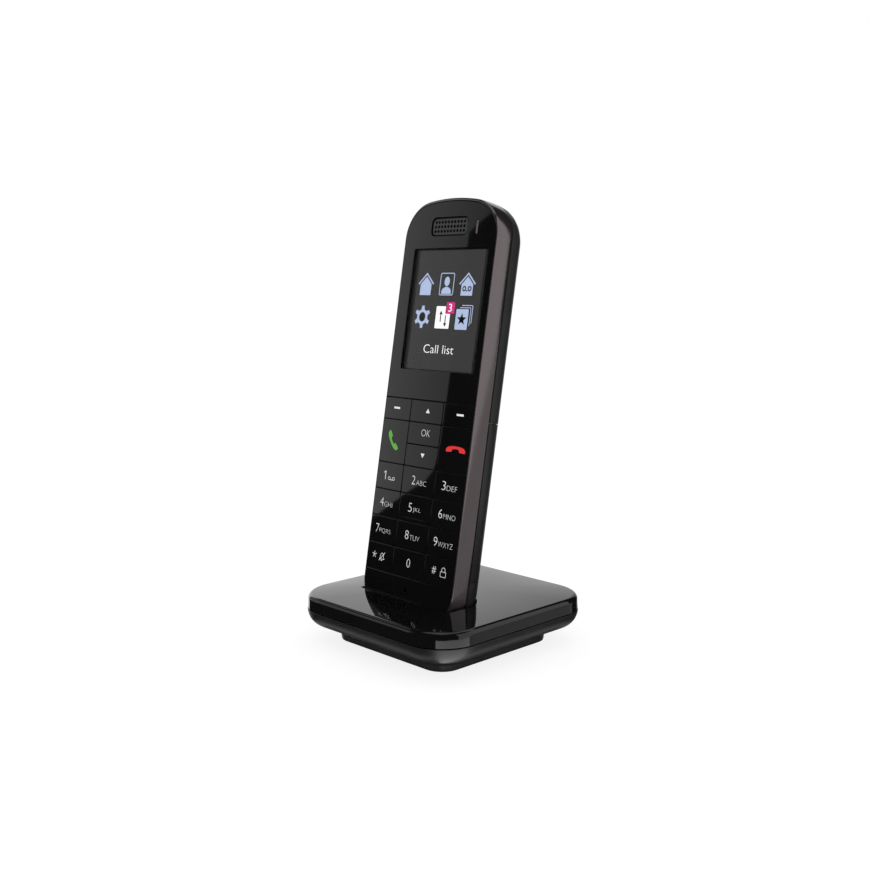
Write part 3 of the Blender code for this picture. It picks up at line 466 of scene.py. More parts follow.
def half_width(z, side, end, corner):
    """Half the width at height z of the handset's outline, moved in by side and end."""
    half = HANDSET_HALF - side
    arch = END_ARCH - end
    across = half - corner
    rise = math.sqrt((arch - corner) ** 2 - across ** 2)
    from_end = min(z - end, HANDSET_LENGTH - end - z)
    if from_end <= 0:
        return 0.0
    beyond_corner = (arch - rise) - from_end
    if beyond_corner <= 0:
        return half
    if beyond_corner <= corner * rise / (arch - corner):
        return across + math.sqrt(max(corner ** 2 - beyond_corner ** 2, 0))
    return math.sqrt(max(arch ** 2 - (arch - from_end) ** 2, 0))


def in_handset(point, grow):
    """Whether a point of the handset's frame is inside it, grown all round."""
    x, y, z = point
    if y < -grow:
        return False
    if y <= BAND_DEPTH:
        return abs(x) < half_width(z, -grow, -grow, HANDSET_CORNER + grow)
    depth = (y - BAND_DEPTH) / (BACK_DEPTH + grow)
    if depth >= 1:
        return False
    share = (1 - depth ** BACK_FULLNESS) ** (1 / BACK_FULLNESS)
    return abs(x) < half_width(z, HANDSET_HALF * (1 - share) - grow * share,
                               BACK_END_ROUND * (1 - share) - grow, (HANDSET_CORNER + grow) * share)


def reach(inside, start, direction, limit):
    """How far a direction runs from start before it leaves a shape."""
    near, far = 0.0, limit
    for _ in range(36):
        middle = (near + far) / 2
        if inside(start + direction * middle):
            near = middle
        else:
            far = middle
    return near


def top_share(x, y):
    """1 at the edge of the top plate, 0 at its middle."""
    a, b, inner = abs(x), abs(y), TOP_EDGE - BASE_CORNER
    flat = max(a, b) / TOP_EDGE
    if flat == 0 or min(a, b) / flat <= inner:
        return flat
    both = a * a + b * b
    k = (inner * (a + b) + math.sqrt((inner * (a + b)) ** 2
                                     - both * (2 * inner ** 2 - BASE_CORNER ** 2))) / both
    return 1 / k


def top_height(x, y):
    return TOP_EDGE_HEIGHT + TOP_CROWN * (1 - top_share(x, y) ** 3)


POCKET_MIDDLE = Vector((0, -9.3, 0))
ROUND_STEPS = 240


def draw_top_shell(bm):
    """Rings from the underside of the edge, over the dome and down into the pocket's floor."""
    into_handset = handset_frame.inverted()
    angles = [2 * math.pi * i / ROUND_STEPS for i in range(ROUND_STEPS)]
    directions = [Vector((math.cos(a), math.sin(a), 0)) for a in angles]

    def plate_point(direction, radius):
        p = POCKET_MIDDLE + direction * radius
        return Vector((p.x, p.y, top_height(p.x, p.y)))

    def in_pocket(grow):
        def inside(p):
            here = Vector((p.x, p.y, top_height(p.x, p.y)))
            return in_handset(into_handset @ (here * MM) / MM, grow)
        return inside

    edge = EDGE_START / TOP_EDGE
    outs = [reach(lambda p: top_share(p.x, p.y) < edge, POCKET_MIDDLE, d, 90) for d in directions]
    rims = [reach(in_pocket(FIT + 0.35), POCKET_MIDDLE, d, 60) for d in directions]
    mouths = [reach(in_pocket(FIT), POCKET_MIDDLE, d, 60) for d in directions]

    def outline(half, z):
        """The square edge at a half width, on the same spokes as the plate."""
        points = []
        for direction, out in zip(directions, outs):
            p = (POCKET_MIDDLE + direction * out) * (half / EDGE_START)
            points.append((p.x, p.y, z))
        return points

    low = SEAM + SEAM_GAP / 2
    inside_wall = BASE_HALF - BASE_WALL
    rings = [outline(inside_wall, 15.5), outline(inside_wall, low), outline(BASE_HALF - EDGE_BREAK, low),
             outline(BASE_HALF, low + EDGE_BREAK), outline(BASE_HALF - 0.03, 13.8),
             outline(BASE_HALF - 0.1, 14.9)]
    start = top_height(EDGE_START, 0)
    for i in range(9, 0, -1):
        a = math.pi / 2 * i / 10
        rings.append(outline(EDGE_START + EDGE_ROUND * math.sin(a), start - EDGE_DROP * (1 - math.cos(a))))
    for share in (1, 0.97, 0.93, 0.87, 0.79, 0.7, 0.6, 0.5, 0.4, 0.3, 0.2, 0.12, 0.06, 0.02, 0):
        rings.append([plate_point(d, rim + (out - rim) * share)
                      for d, rim, out in zip(directions, rims, outs)])
    rings.append([plate_point(d, mouth * 0.7 + rim * 0.3) - Vector((0, 0, 0.1))
                  for d, rim, mouth in zip(directions, rims, mouths)])
    rings.append([plate_point(d, mouth) - Vector((0, 0, 0.35)) for d, mouth in zip(directions, mouths)])
    for drop in (0.25, 0.45, 0.65, 0.8, 0.9, 0.96, 0.99):
        z = 9.0 * (1 - drop) - FIT * drop
        ring = []
        for direction in directions:
            across = Vector((direction.x, direction.y, 0))
            centre = Vector((0, 10.0, z))
            out = reach(lambda p: in_handset(p, FIT), centre, across, 40)
            ring.append(handset_frame @ ((centre + across * out) * MM) / MM)
        rings.append(ring)
    skin(bm, rings, close_start=False)


piano_black = moulded("gloss_black_plastic", (0.004, 0.004, 0.0043), 0.045, 0.0004, 1.4)
upper = piece_from("upper_base_shell", draw_top_shell, piano_black, sharp=40)
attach(upper, "base")
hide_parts("base_top_shell")


def gold_plate(add):
    """Thin gold over nickelled brass, a little uneven in colour and gloss."""
    _, cloud, tone = mottle(add, 500.0, (0.78, 0.55, 0.22), (0.88, 0.68, 0.33), 3.0)
    gloss = add("MapRange", {"Value": cloud, "To Min": 0.18, "To Max": 0.34})
    return add("BsdfPrincipled", {"Base Color": tone, "Roughness": gloss.outputs[0],
                                  "Metallic": 1.0})


gold = finish_material("gold_brass", gold_plate)
dress(["charge_pin_left", "charge_pin_right", "charge_contact_left", "charge_contact_right"], gold)

# ------------------------------------------------------------------ side band
# One moulded hoop runs right round the handset and holds its front and back together. It is sprayed in
# a warm grey metallic lacquer, and its front edge folds over into a thin lip round the glossy face.

LIP_SIDE = 0.5
LIP_END = 1.2
WALL = 1.5
FACE_CROWN = 0.7
SIDE_SWELL = 0.16
SWELL_MIDDLE = 4.2


def face_outline(side, end=None, corner=None, per_corner=14, per_arch=20):
    """The handset's outline seen from the front, as (x, z), moved in by side and by end."""
    end = side if end is None else end
    half = HANDSET_HALF - side
    if corner is None:
        corner = HANDSET_CORNER - (side + end) / 2
    arch = END_ARCH - end
    across = half - corner
    rise = math.sqrt((arch - corner) ** 2 - across ** 2)
    turn = math.atan2(rise, across)
    quarter = []
    for i in range(per_corner):
        a = turn * i / per_corner
        quarter.append((across + corner * math.cos(a), arch - rise - corner * math.sin(a)))
    for i in range(per_arch // 2 + 1):
        a = turn + (math.pi / 2 - turn) * i / (per_arch // 2)
        quarter.append((arch * math.cos(a), arch - arch * math.sin(a)))
    top = HANDSET_LENGTH - end
    upper = [(x, top - z) for x, z in quarter]
    upper += [(-x, z) for x, z in upper[-2::-1]]
    lower = [(-x, end + z) for x, z in quarter]
    lower += [(-x, z) for x, z in lower[-2::-1]]
    return upper + lower


def stand(outline, depth):
    return [(x, depth, z) for x, z in outline]


def face_bow(x, y):
    """How far the gently crowned face, and the hoop behind it, fall back at x across and y deep."""
    return FACE_CROWN * (x / HANDSET_HALF) ** 2 * max(0.0, 1 - y / BAND_DEPTH)


def swell(depth):
    """How far the hoop's side has drawn in at a depth; it is fullest in the middle."""
    return SIDE_SWELL * ((depth - SWELL_MIDDLE) / SWELL_MIDDLE) ** 2


def draw_band(bm):
    """Cross-section of the hoop, from inside the lip round its front edge to its back and inside."""
    section = [(0.5, 1.2, 1.45), (0.5, 1.2, 0.08), (0.46, 1.15, 0.015), (0.42, 1.05, 0.0),
               (0.36, 0.66, 0.0), (0.3, 0.45, 0.05), (0.23, 0.31, 0.17), (0.175, 0.2, 0.36),
               (0.13, 0.14, 0.65)]
    section += [(swell(depth), swell(depth), depth) for depth in (1.1, 2.0, 3.1, 4.2, 5.3, 6.4, 7.4, 8.15)]
    section += [(0.18, 0.18, 8.3), (0.24, 0.24, 8.43), (0.36, 0.36, 8.5), (1.5, 1.5, 8.5), (1.5, 1.8, 1.45)]
    rings = [[(x, y + face_bow(x, y), z) for x, y, z in stand(face_outline(side, end, None, 14, 60), depth)]
             for side, end, depth in section]
    skin(bm, rings + rings[:1], False, False)
    bmesh.ops.remove_doubles(bm, verts=bm.verts, dist=1e-7)


def metallic_lacquer(add):
    """Warm grey base coat with fine aluminium flake under a thin clear coat."""
    place = add("TexCoord")
    flake = add("TexVoronoi", {"Vector": place.outputs["Object"], "Scale": 9000.0})
    tone = add("ValToRGB", {"Fac": flake.outputs["Color"]})
    tone.color_ramp.elements[0].color = (0.125, 0.104, 0.108, 1)
    tone.color_ramp.elements[1].color = (0.185, 0.158, 0.163, 1)
    cloud = add("TexNoise", {"Vector": place.outputs["Object"], "Scale": 80.0, "Detail": 4.0})
    gloss = add("MapRange", {"Value": cloud.outputs["Fac"], "To Min": 0.1, "To Max": 0.15})
    bump = add("Bump", {"Height": flake.outputs["Distance"], "Distance": 0.0000015})
    return add("BsdfPrincipled", {"Base Color": tone.outputs["Color"], "Roughness": gloss.outputs[0],
                                  "Metallic": 0.9, "Coat Weight": 0.25, "Coat Roughness": 0.06,
                                  "Normal": bump.outputs["Normal"]})


lacquer = finish_material("metallic_paint", metallic_lacquer)
band = piece_from("side_band", draw_band, lacquer, handset_frame, sharp=50)
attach(band, "handset")
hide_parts("side_frame")

# ------------------------------------------------------------------ works behind the face
# A black carrier plate holds the display, the silicone key mat and the lens. Behind it sit the green
# circuit board with the earpiece, microphone and aerial, held by four screws from the battery bay.

carrier_black = moulded("housing_plastic", (0.01, 0.01, 0.01), 0.5, 0.01, 0.3)
dress(["front_housing", "loudspeaker"], carrier_black)
dress(["key_mat"], moulded("silicone", (0.26, 0.27, 0.28), 0.7, 0.01, 0.2))
dress(["handset_circuit_board"], board_green)
dress(["earpiece", "microphone", "aerial"] + nodes_like("handset_screw_"), zinc)

# ------------------------------------------------------------------ lens and display
# The upper face is a single hard-coated acrylic lens, printed black behind except over the display.
# The lit screen shows two rows of menu signs and the name of the one that is chosen.

PLATE_ROUND = 0.14
SCREEN_HALF = 17.41
SCREEN_LOW = 93.0
SCREEN_HIGH = 136.64
SCREEN_DEPTH = 2.0
WINDOW_HALF = 18.8
UNDERCUT = 1.3


def own_box(node):
    """A node's lowest and highest corners in the handset's own frame, in millimetres."""
    low, high = lean_box(node)
    start = Vector((0, lean_box("side_frame")[0].y, lean_box("side_frame")[0].z))
    return (low - start) / MM, (high - start) / MM


def moved_in(outline, distance):
    """An anticlockwise or clockwise convex outline with each side moved in."""
    area = sum(a[0] * b[1] - b[0] * a[1] for a, b in zip(outline, outline[1:] + outline[:1]))
    sign = 1 if area > 0 else -1
    moved = []
    for before, here, after in zip(outline[-1:] + outline[:-1], outline, outline[1:] + outline[:1]):
        first = Vector((before[1] - here[1], here[0] - before[0])).normalized() * sign
        second = Vector((here[1] - after[1], after[0] - here[0])).normalized() * sign
        step = (first + second) / max(1 + first.dot(second), 0.2) * distance
        moved.append((here[0] + step.x, here[1] + step.y))
    return moved


def cut_between(outline, low, high):
    """The part of a convex outline between two heights."""
    for limit, below in ((low, False), (high, True)):
        kept = []
        for (x0, z0), (x1, z1) in zip(outline, outline[1:] + outline[:1]):
            in0, in1 = (z0 <= limit) == below, (z1 <= limit) == below
            if in0:
                kept.append((x0, z0))
            if in0 != in1:
                kept.append((x0 + (limit - z0) / (z1 - z0) * (x1 - x0), limit))
        outline = kept
    return outline


def draw_plate(bm, outline, front, back, edge=PLATE_ROUND):
    """A flat plate with a small round along the edge of its front."""
    rings = [stand(outline, back), stand(outline, front + edge)]
    for i in (1, 2, 3):
        a = math.pi / 2 * i / 3
        rings.append(stand(moved_in(outline, edge * (1 - math.cos(a))), front + edge * (1 - math.sin(a))))
    rings.append(stand(moved_in(outline, edge * 1.5), front))
    skin(bm, rings)


def oblong(half_x, half_z, corner, middle, steps=8):
    """A rectangle with round corners on the face, as (x, z)."""
    points = []
    for turn, (sx, sz) in enumerate(((1, 1), (-1, 1), (-1, -1), (1, -1))):
        for i in range(steps + 1):
            a = math.pi / 2 * (turn + i / steps)
            points.append((middle[0] + sx * (half_x - corner) + corner * math.cos(a),
                           middle[1] + sz * (half_z - corner) + corner * math.sin(a)))
    return points


def straight_cut(bm, outline, front=-1.0, back=3.0):
    skin(bm, [stand(outline, front), stand(outline, back)])


def bow(thing):
    """Cut a piece of the face into upright strips and bend it to the crown of the face."""
    bm = bmesh.new()
    bm.from_mesh(thing.data)
    step = 1.5 * MM
    across = [v.co.x for v in bm.verts]
    for i in range(math.ceil(min(across) / step), math.floor(max(across) / step) + 1):
        bmesh.ops.bisect_plane(bm, geom=bm.verts[:] + bm.edges[:] + bm.faces[:], dist=1e-7,
                               plane_co=(i * step, 0, 0), plane_no=(1, 0, 0))
    for v in bm.verts:
        v.co.y += face_bow(v.co.x / MM, v.co.y / MM) * MM
    bm.to_mesh(thing.data)
    bm.free()


lens_low, lens_high = own_box("display_lens")
grille_low, grille_high = own_box("earpiece_grille")
light_low, light_high = own_box("status_light")
grille_middle = (0, (grille_low.z + grille_high.z) / 2)
light_middle = ((light_low.x + light_high.x) / 2, (light_low.z + light_high.z) / 2 - 0.58)
screen_middle = (0.54, (SCREEN_LOW + SCREEN_HIGH) / 2)
window_middle = (1.6, screen_middle[1])
screen_front = SCREEN_DEPTH - 0.06
module_low, module_high = own_box("display_module")
PANEL_SIDE = LIP_SIDE + 0.12
PANEL_END = LIP_END + 0.15

glossy_face = moulded("gloss_black_front", (0.0035, 0.0035, 0.0038), 0.03, 0.0003, 1.6)


def window_outline(inset):
    """The clear part of the lens."""
    return oblong(WINDOW_HALF - inset, (SCREEN_HIGH - SCREEN_LOW) / 2 + 0.5 - inset, 0.6, window_middle)


def draw_lens(bm):
    outline = cut_between(face_outline(PANEL_SIDE, PANEL_END), lens_low.z, HANDSET_LENGTH)
    draw_plate(bm, outline, 0.0, lens_high.y)


def draw_lens_openings(bm):
    straight_cut(bm, oblong((grille_high.x - grille_low.x) / 2 + 0.45,
                            (grille_high.z - grille_low.z) / 2 + 0.45, 2.2, grille_middle))
    straight_cut(bm, oblong(0.62, 2.65, 0.6, light_middle))
    skin(bm, [stand(window_outline(0), -1.0), stand(window_outline(0), 0.45),
              stand(window_outline(-UNDERCUT), 0.75), stand(window_outline(-UNDERCUT), 3.0)])


lens = piece_from("lens", draw_lens, glossy_face, handset_frame)
carve(lens, [piece_from("lens_openings", draw_lens_openings, None, handset_frame)])
bow(lens)
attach(lens, "handset")
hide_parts("display_lens")


def lit_screen(add):
    """A dark colour screen with its backlight on: a faint warm glow through a fine grid of dots."""
    place = add("TexCoord")
    dots = add("TexBrick", {"Vector": place.outputs["Object"], "Scale": 3500.0, "Mortar Size": 0.06,
                            "Color1": (0.0205, 0.0197, 0.0186, 1), "Color2": (0.0193, 0.0187, 0.0182, 1),
                            "Mortar": (0.014, 0.014, 0.014, 1)}, offset=0.0)
    return add("BsdfPrincipled", {"Base Color": (0.004, 0.004, 0.004, 1), "Roughness": 0.04,
                                  "Emission Color": dots.outputs["Color"], "Emission Strength": 1.0})


def draw_module(bm):
    half = (module_high - module_low) / 2
    draw_plate(bm, oblong(half.x, half.z, 0.5, ((module_low.x + module_high.x) / 2,
                                                (module_low.z + module_high.z) / 2)),
               SCREEN_DEPTH, module_high.y, 0.15)


dark_glass = moulded("display_glass", (0.004, 0.004, 0.004), 0.3, 0.001, 0.5)
module = piece_from("display_unit", draw_module, dark_glass, handset_frame)
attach(module, "handset")
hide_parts("display_module")


def draw_screen(bm):
    draw_plate(bm, oblong(SCREEN_HALF, (SCREEN_HIGH - SCREEN_LOW) / 2, 0.15, screen_middle),
               screen_front, screen_front + 0.05, 0.01)


def clear_acrylic(add):
    """Clear hard-coated acrylic: seen through head on, and glossy towards grazing angles."""
    place = add("TexCoord")
    fine = add("TexNoise", {"Vector": place.outputs["Object"], "Scale": 600.0, "Detail": 3.0})
    bump = add("Bump", {"Height": fine.outputs["Fac"], "Distance": 0.0000003})
    rub = add("MapRange", {"Value": fine.outputs["Fac"], "To Min": 0.02, "To Max": 0.04})
    clear = add("BsdfTransparent", {"Color": (1, 1, 1, 1)})
    gloss = add("BsdfGlossy", {"Roughness": rub.outputs[0], "Normal": bump.outputs["Normal"]})
    edge_on = add("LayerWeight", {"Blend": 0.5, "Normal": bump.outputs["Normal"]})
    steep = add("Math", {0: edge_on.outputs["Facing"], 1: 5.0}, operation="POWER")
    return add("MixShader", {0: steep.outputs[0], 1: clear.outputs[0], 2: gloss.outputs[0]})


def draw_window(bm):
    draw_plate(bm, window_outline(0.015), 0.0, 0.4, 0.01)


window = piece_from("lens_window", draw_window, finish_material("clear_lens", clear_acrylic), handset_frame)
bow(window)
window.visible_shadow = False
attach(window, "handset")


screen = piece_from("screen", draw_screen, finish_material("lit_screen", lit_screen), handset_frame)
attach(screen, "handset")


def filled(loops):
    """A flat mesh of closed (x, z) loops, in which a loop inside another leaves a hole."""
    curve = bpy.data.curves.new("sign", "CURVE")
    curve.dimensions = "2D"
    curve.fill_mode = "BOTH"
    for loop in loops:
        line = curve.splines.new("POLY")
        line.points.add(len(loop) - 1)
        line.use_cyclic_u = True
        for point, (x, z) in zip(line.points, loop):
            point.co = (x, z, 0, 1)
    return flat_mesh(curve)


def flat_mesh(curve):
    thing = bpy.data.objects.new("sign", curve)
    scene.collection.objects.link(thing)
    bpy.context.view_layer.update()
    mesh = bpy.data.meshes.new_from_object(thing.evaluated_get(bpy.context.evaluated_depsgraph_get()))
    bpy.data.objects.remove(thing)
    return mesh


def lettering(text, middle, height, width=None, stroke=0.0):
    """A word as a flat mesh, its box centred on a point, height tall and width wide."""
    curve = bpy.data.curves.new("letters", "FONT")
    curve.body = text
    curve.offset = stroke
    curve.resolution_u = 4
    mesh = flat_mesh(curve)
    xs, zs = [v.co.x for v in mesh.vertices], [v.co.y for v in mesh.vertices]
    tall = height / (max(zs) - min(zs))
    wide = tall if width is None else width / (max(xs) - min(xs))
    centre = Vector(((max(xs) + min(xs)) / 2, (max(zs) + min(zs)) / 2, 0))
    for v in mesh.vertices:
        v.co = Vector(((v.co.x - centre.x) * wide + middle[0], (v.co.y - centre.y) * tall + middle[1], 0))
    return mesh


def printed(name, meshes, material, body, front=-0.012, ink=0.01, bowed=True):
    """Ink printed on the face: flat shapes brought together as one very thin piece."""
    bm = bmesh.new()
    for mesh in meshes:
        bm.from_mesh(mesh)
        bpy.data.meshes.remove(mesh)
    bmesh.ops.remove_doubles(bm, verts=bm.verts, dist=1e-4)
    bmesh.ops.solidify(bm, geom=bm.faces, thickness=ink)
    for v in bm.verts:
        v.co = Vector((v.co.x, front + abs(v.co.z), v.co.y)) * MM
    bmesh.ops.recalc_face_normals(bm, faces=bm.faces)
    mesh = bpy.data.meshes.new(name)
    bm.to_mesh(mesh)
    bm.free()
    mesh.materials.append(material)
    thing = bpy.data.objects.new(name, mesh)
    scene.collection.objects.link(thing)
    thing.matrix_world = handset_frame
    if bowed:
        bow(thing)
    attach(thing, body)
    return thing


def ink(name, colour, glow):
    """Printed or lit ink, a little mottled; glow is how much it shines by itself."""
    def build(add):
        _, cloud, tone = mottle(add, 700.0, [c * 0.92 for c in colour], colour)
        gloss = add("MapRange", {"Value": cloud, "To Min": 0.3, "To Max": 0.45})
        return add("BsdfPrincipled", {"Base Color": (0.02, 0.02, 0.02, 1) if glow else tone,
                                      "Roughness": gloss.outputs[0], "Emission Color": tone,
                                      "Emission Strength": glow})
    return finish_material(name, build)


def mapped(loop, middle, scale=1.0, turn=0.0):
    """A loop scaled, turned and moved to a place on the face."""
    c, s = math.cos(turn) * scale, math.sin(turn) * scale
    return [(middle[0] + x * c - z * s, middle[1] + x * s + z * c) for x, z in loop]


def ring_loop(rx, rz, middle=(0, 0), steps=28):
    return [(middle[0] + rx * math.cos(2 * math.pi * i / steps),
             middle[1] + rz * math.sin(2 * math.pi * i / steps)) for i in range(steps)]


def bar(low_x, low_z, high_x, high_z):
    return [(low_x, low_z), (high_x, low_z), (high_x, high_z), (low_x, high_z)]


SIGN_COLUMNS = (-10.4, 0.4, 10.75)
SIGN_STRETCH = 1.06
UPPER_SIGNS = 124.3
LOWER_SIGNS = 112.2
house_wall = [(-2.7, -4.1), (2.7, -4.1), (2.7, -0.05), (0, 2.75), (-2.7, -0.05)]
house_roof = [(0, 4.2), (3.85, 0.2), (3.45, -0.2), (0, 3.45), (-3.45, -0.2), (-3.85, 0.2)]
tape = [ring_loop(0.42, 0.5, (side * 1.25, -1.6), 16) for side in (-1, 1)]
tape_rim = [ring_loop(0.9, 1.0, (side * 1.25, -1.6), 20) for side in (-1, 1)]
tape_bar = bar(-0.4, -2.6, 0.4, -2.2)
frame_rim = [oblong(3.4, 4.1, 0.7, (0, 0), 4), oblong(3.05, 3.75, 0.4, (0, 0), 4)]
shoulders = [(2.3, -3.55)] + [(2.3 * math.cos(math.pi * i / 16), -3.0 + 2.0 * math.sin(math.pi * i / 16))
                              for i in range(17)] + [(-2.3, -3.55)]
gear = []
for tooth in range(6):
    for offset, radius in ((-0.27, 2.9), (-0.16, 4.15), (0.16, 4.15), (0.27, 2.9), (0.52, 2.75)):
        a = math.pi / 2 + tooth * math.pi / 3 + offset
        gear.append((0.92 * radius * math.cos(a), radius * math.sin(a)))
page = [(-3.3, 4.05), (-3.55, 3.8), (-3.55, -3.8), (-3.3, -4.05), (3.05, -4.05), (3.3, -3.8), (3.3, 1.35),
        (0.95, 1.35), (0.95, 4.05)]
arrow = [(-0.24, -1.9), (0.24, -1.9), (0.24, 0.9), (0.8, 0.9), (0, 2.3), (-0.8, 0.9), (-0.24, 0.9)]
star = [(r * math.sin(math.pi * i / 5), r * math.cos(math.pi * i / 5))
        for i, r in enumerate((2.35, 0.98) * 5)]


def sign(loops, column, row, shift=(0, 0)):
    """A flat mesh of loops drawn round the middle of one of the menu's six places."""
    return filled([[(SIGN_COLUMNS[column] + (x + shift[0]) * SIGN_STRETCH, row + shift[1] + z)
                    for x, z in loop] for loop in loops])


house_back = [(0, 3.7), (3.1, 0.3), (2.95, -4.3), (-2.95, -4.3), (-3.1, 0.3)]
backs = [sign([house_back], 0, UPPER_SIGNS), sign([house_back], 2, UPPER_SIGNS),
         sign([oblong(3.65, 4.35, 0.8, (0, 0), 4), oblong(2.85, 3.55, 0.4, (0, 0), 4)], 1, UPPER_SIGNS),
         sign([ring_loop(1.5, 2.0, (0, 0.95))], 1, UPPER_SIGNS),
         sign([ring_loop(1.9, 2.1)], 0, LOWER_SIGNS),
         sign([oblong(3.7, 4.25, 0.4, (-0.1, 0), 4)], 1, LOWER_SIGNS),
         sign([oblong(3.1, 3.9, 0.4, (0, 0), 4)], 2, LOWER_SIGNS, (-0.75, -0.5)),
         sign([oblong(2.9, 3.5, 0.3, (0, 0), 4)], 2, LOWER_SIGNS, (0.2, 0.35)),
         sign([oblong(2.9, 3.4, 0.3, (0, 0), 4)], 2, LOWER_SIGNS, (1.0, 1.1))]
dark_backs = printed("screen_sign_shadows", backs, ink("screen_black", (0.006, 0.006, 0.006), 0.0), "handset",
                     screen_front - 0.006, ink=0.004, bowed=False)
pale_blue = ink("screen_pale_blue", (0.43, 0.52, 0.74), 1.0)
menu = [sign([house_wall], 0, UPPER_SIGNS), sign([house_roof], 0, UPPER_SIGNS),
        sign(frame_rim, 1, UPPER_SIGNS), sign([ring_loop(1.25, 1.75, (0, 0.95))], 1, UPPER_SIGNS),
        sign([shoulders], 1, UPPER_SIGNS),
        sign([house_wall, tape_bar] + tape_rim, 2, UPPER_SIGNS), sign([house_roof], 2, UPPER_SIGNS),
        sign(tape, 2, UPPER_SIGNS),
        sign([gear, ring_loop(1.55, 1.75)], 0, LOWER_SIGNS),
        sign([oblong(2.9, 3.7, 0.4, (0, 0), 4), star], 2, LOWER_SIGNS, (-0.75, -0.5))]
for step in (1, 2):
    menu.append(sign([[(-2.1, 3.4), (2.75, 3.4), (3.1, 3.05), (3.1, -3.0), (2.8, -3.3), (2.8, 3.1),
                       (-2.1, 3.1)]], 2, LOWER_SIGNS, (-0.75 + 0.8 * step, -0.35 + 0.8 * step)))
signs = printed("screen_signs", menu, pale_blue, "handset", screen_front - 0.012, bowed=False)
bright = ink("screen_white", (1.0, 1.0, 1.0), 1.05)
chosen = [sign([page, mapped(arrow, (-1.1, 0.2)), mapped(arrow, (1.25, -1.15), 1.0, math.pi)],
               1, LOWER_SIGNS), lettering("Call list", (0.1, 100.6), 3.1, 15.4, -0.012)]
white_signs = printed("screen_chosen_sign", chosen, bright, "handset", screen_front - 0.012, bowed=False)
badge = printed("screen_badge", [sign([oblong(1.95, 2.05, 0.3, (3.2, 3.55), 4)], 1, LOWER_SIGNS)],
                ink("screen_magenta", (0.62, 0.0, 0.2), 1.0), "handset", screen_front - 0.014, bowed=False)
badge_middle = (SIGN_COLUMNS[1] + 3.2, LOWER_SIGNS + 3.55)
count = printed("screen_badge_number", [lettering("3", badge_middle, 2.9, 1.7)], bright,
                "handset", screen_front - 0.026, bowed=False)

GRILLE_COLUMNS = 10
GRILLE_ROWS = 3
GRILLE_PITCH = (1.6, 1.65)
GRILLE_HOLE = 0.56


def draw_grille(bm):
    draw_plate(bm, oblong((grille_high.x - grille_low.x) / 2, (grille_high.z - grille_low.z) / 2, 1.7,
                          grille_middle), 0.3, grille_high.y, 0.3)


def draw_grille_holes(bm):
    for column in range(GRILLE_COLUMNS):
        for row in range(GRILLE_ROWS):
            x = (column - (GRILLE_COLUMNS - 1) / 2) * GRILLE_PITCH[0]
            z = grille_middle[1] + (row - (GRILLE_ROWS - 1) / 2) * GRILLE_PITCH[1]
            straight_cut(bm, ring_loop(GRILLE_HOLE, GRILLE_HOLE, (x, z), 18))


grille_plastic = moulded("grille_plastic", (0.034, 0.035, 0.035), 0.42, 0.006, 0.2)
grille = piece_from("grille", draw_grille, grille_plastic, handset_frame)
carve(grille, [piece_from("grille_holes", draw_grille_holes, carrier_black, handset_frame)])
bow(grille)
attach(grille, "handset")
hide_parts("earpiece_grille")


def light_pipe(add):
    """Milky acrylic that carries the light of a small lamp to the face."""
    _, cloud, tone = mottle(add, 900.0, (0.085, 0.07, 0.062), (0.12, 0.1, 0.09))
    gloss = add("MapRange", {"Value": cloud, "To Min": 0.2, "To Max": 0.35})
    return add("BsdfPrincipled", {"Base Color": tone, "Roughness": gloss.outputs[0]})


def draw_light(bm):
    draw_plate(bm, oblong(0.42, 2.45, 0.41, light_middle, 5), 0.02, light_high.y, 0.08)


light = piece_from("status_light_bar", draw_light, finish_material("light_guide", light_pipe), handset_frame)
bow(light)
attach(light, "handset")
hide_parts("status_light")

# ------------------------------------------------------------------ chin
# Below the keys the face is closed by a plain glossy plate, moulded like the keys and fixed to the
# carrier behind it, with one small hole for the microphone.

chin_high = own_box("chin_panel")[1]
mic_low, mic_high = own_box("microphone")
MIC_HOLE = 1.05


def draw_chin(bm):
    draw_plate(bm, cut_between(face_outline(PANEL_SIDE, PANEL_END), 0, chin_high.z), 0.0, chin_high.y)


def draw_mic_hole(bm):
    middle = (0, (mic_low.z + mic_high.z) / 2)
    straight_cut(bm, ring_loop(MIC_HOLE, MIC_HOLE, middle, 24))


chin = piece_from("chin", draw_chin, glossy_face, handset_frame)
carve(chin, [piece_from("mic_hole", draw_mic_hole, carrier_black, handset_frame)])
bow(chin)
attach(chin, "handset")
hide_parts("chin_panel")

# ------------------------------------------------------------------ keys
# Nineteen flat tiles of the same glossy black, each with its own stem on the silicone mat. Their marks
# are printed in thin grey-white, with a green receiver to take a call and a red one to end it.

KEY_DEPTH = 1.1
KEY_ROUND = 0.13
STEM_HALF = 1.2
KEY_SPREAD = 0.06
DIGIT_HEIGHT = 3.25
DIGIT_WIDTH = 1.85
LETTER_HEIGHT = 1.85
DIGIT_X = (-18.2, -2.35, 13.1)

legend_grey = ink("key_legend", (0.74, 0.74, 0.73), 0.0)
legend_white = ink("key_mark_white", (0.86, 0.86, 0.86), 0.0)
call_green = ink("call_green", (0.11, 0.46, 0.035), 0.0)
end_red = ink("end_red", (0.8, 0.012, 0.012), 0.0)


def draw_key(bm, low, high, stem_x, stem_z):
    draw_plate(bm, bar(low.x, low.z, high.x, high.z), 0.0, KEY_DEPTH, KEY_ROUND)
    add_block(bm, (stem_x - STEM_HALF, KEY_DEPTH, stem_z - STEM_HALF),
              (stem_x + STEM_HALF, high.y, stem_z + STEM_HALF))


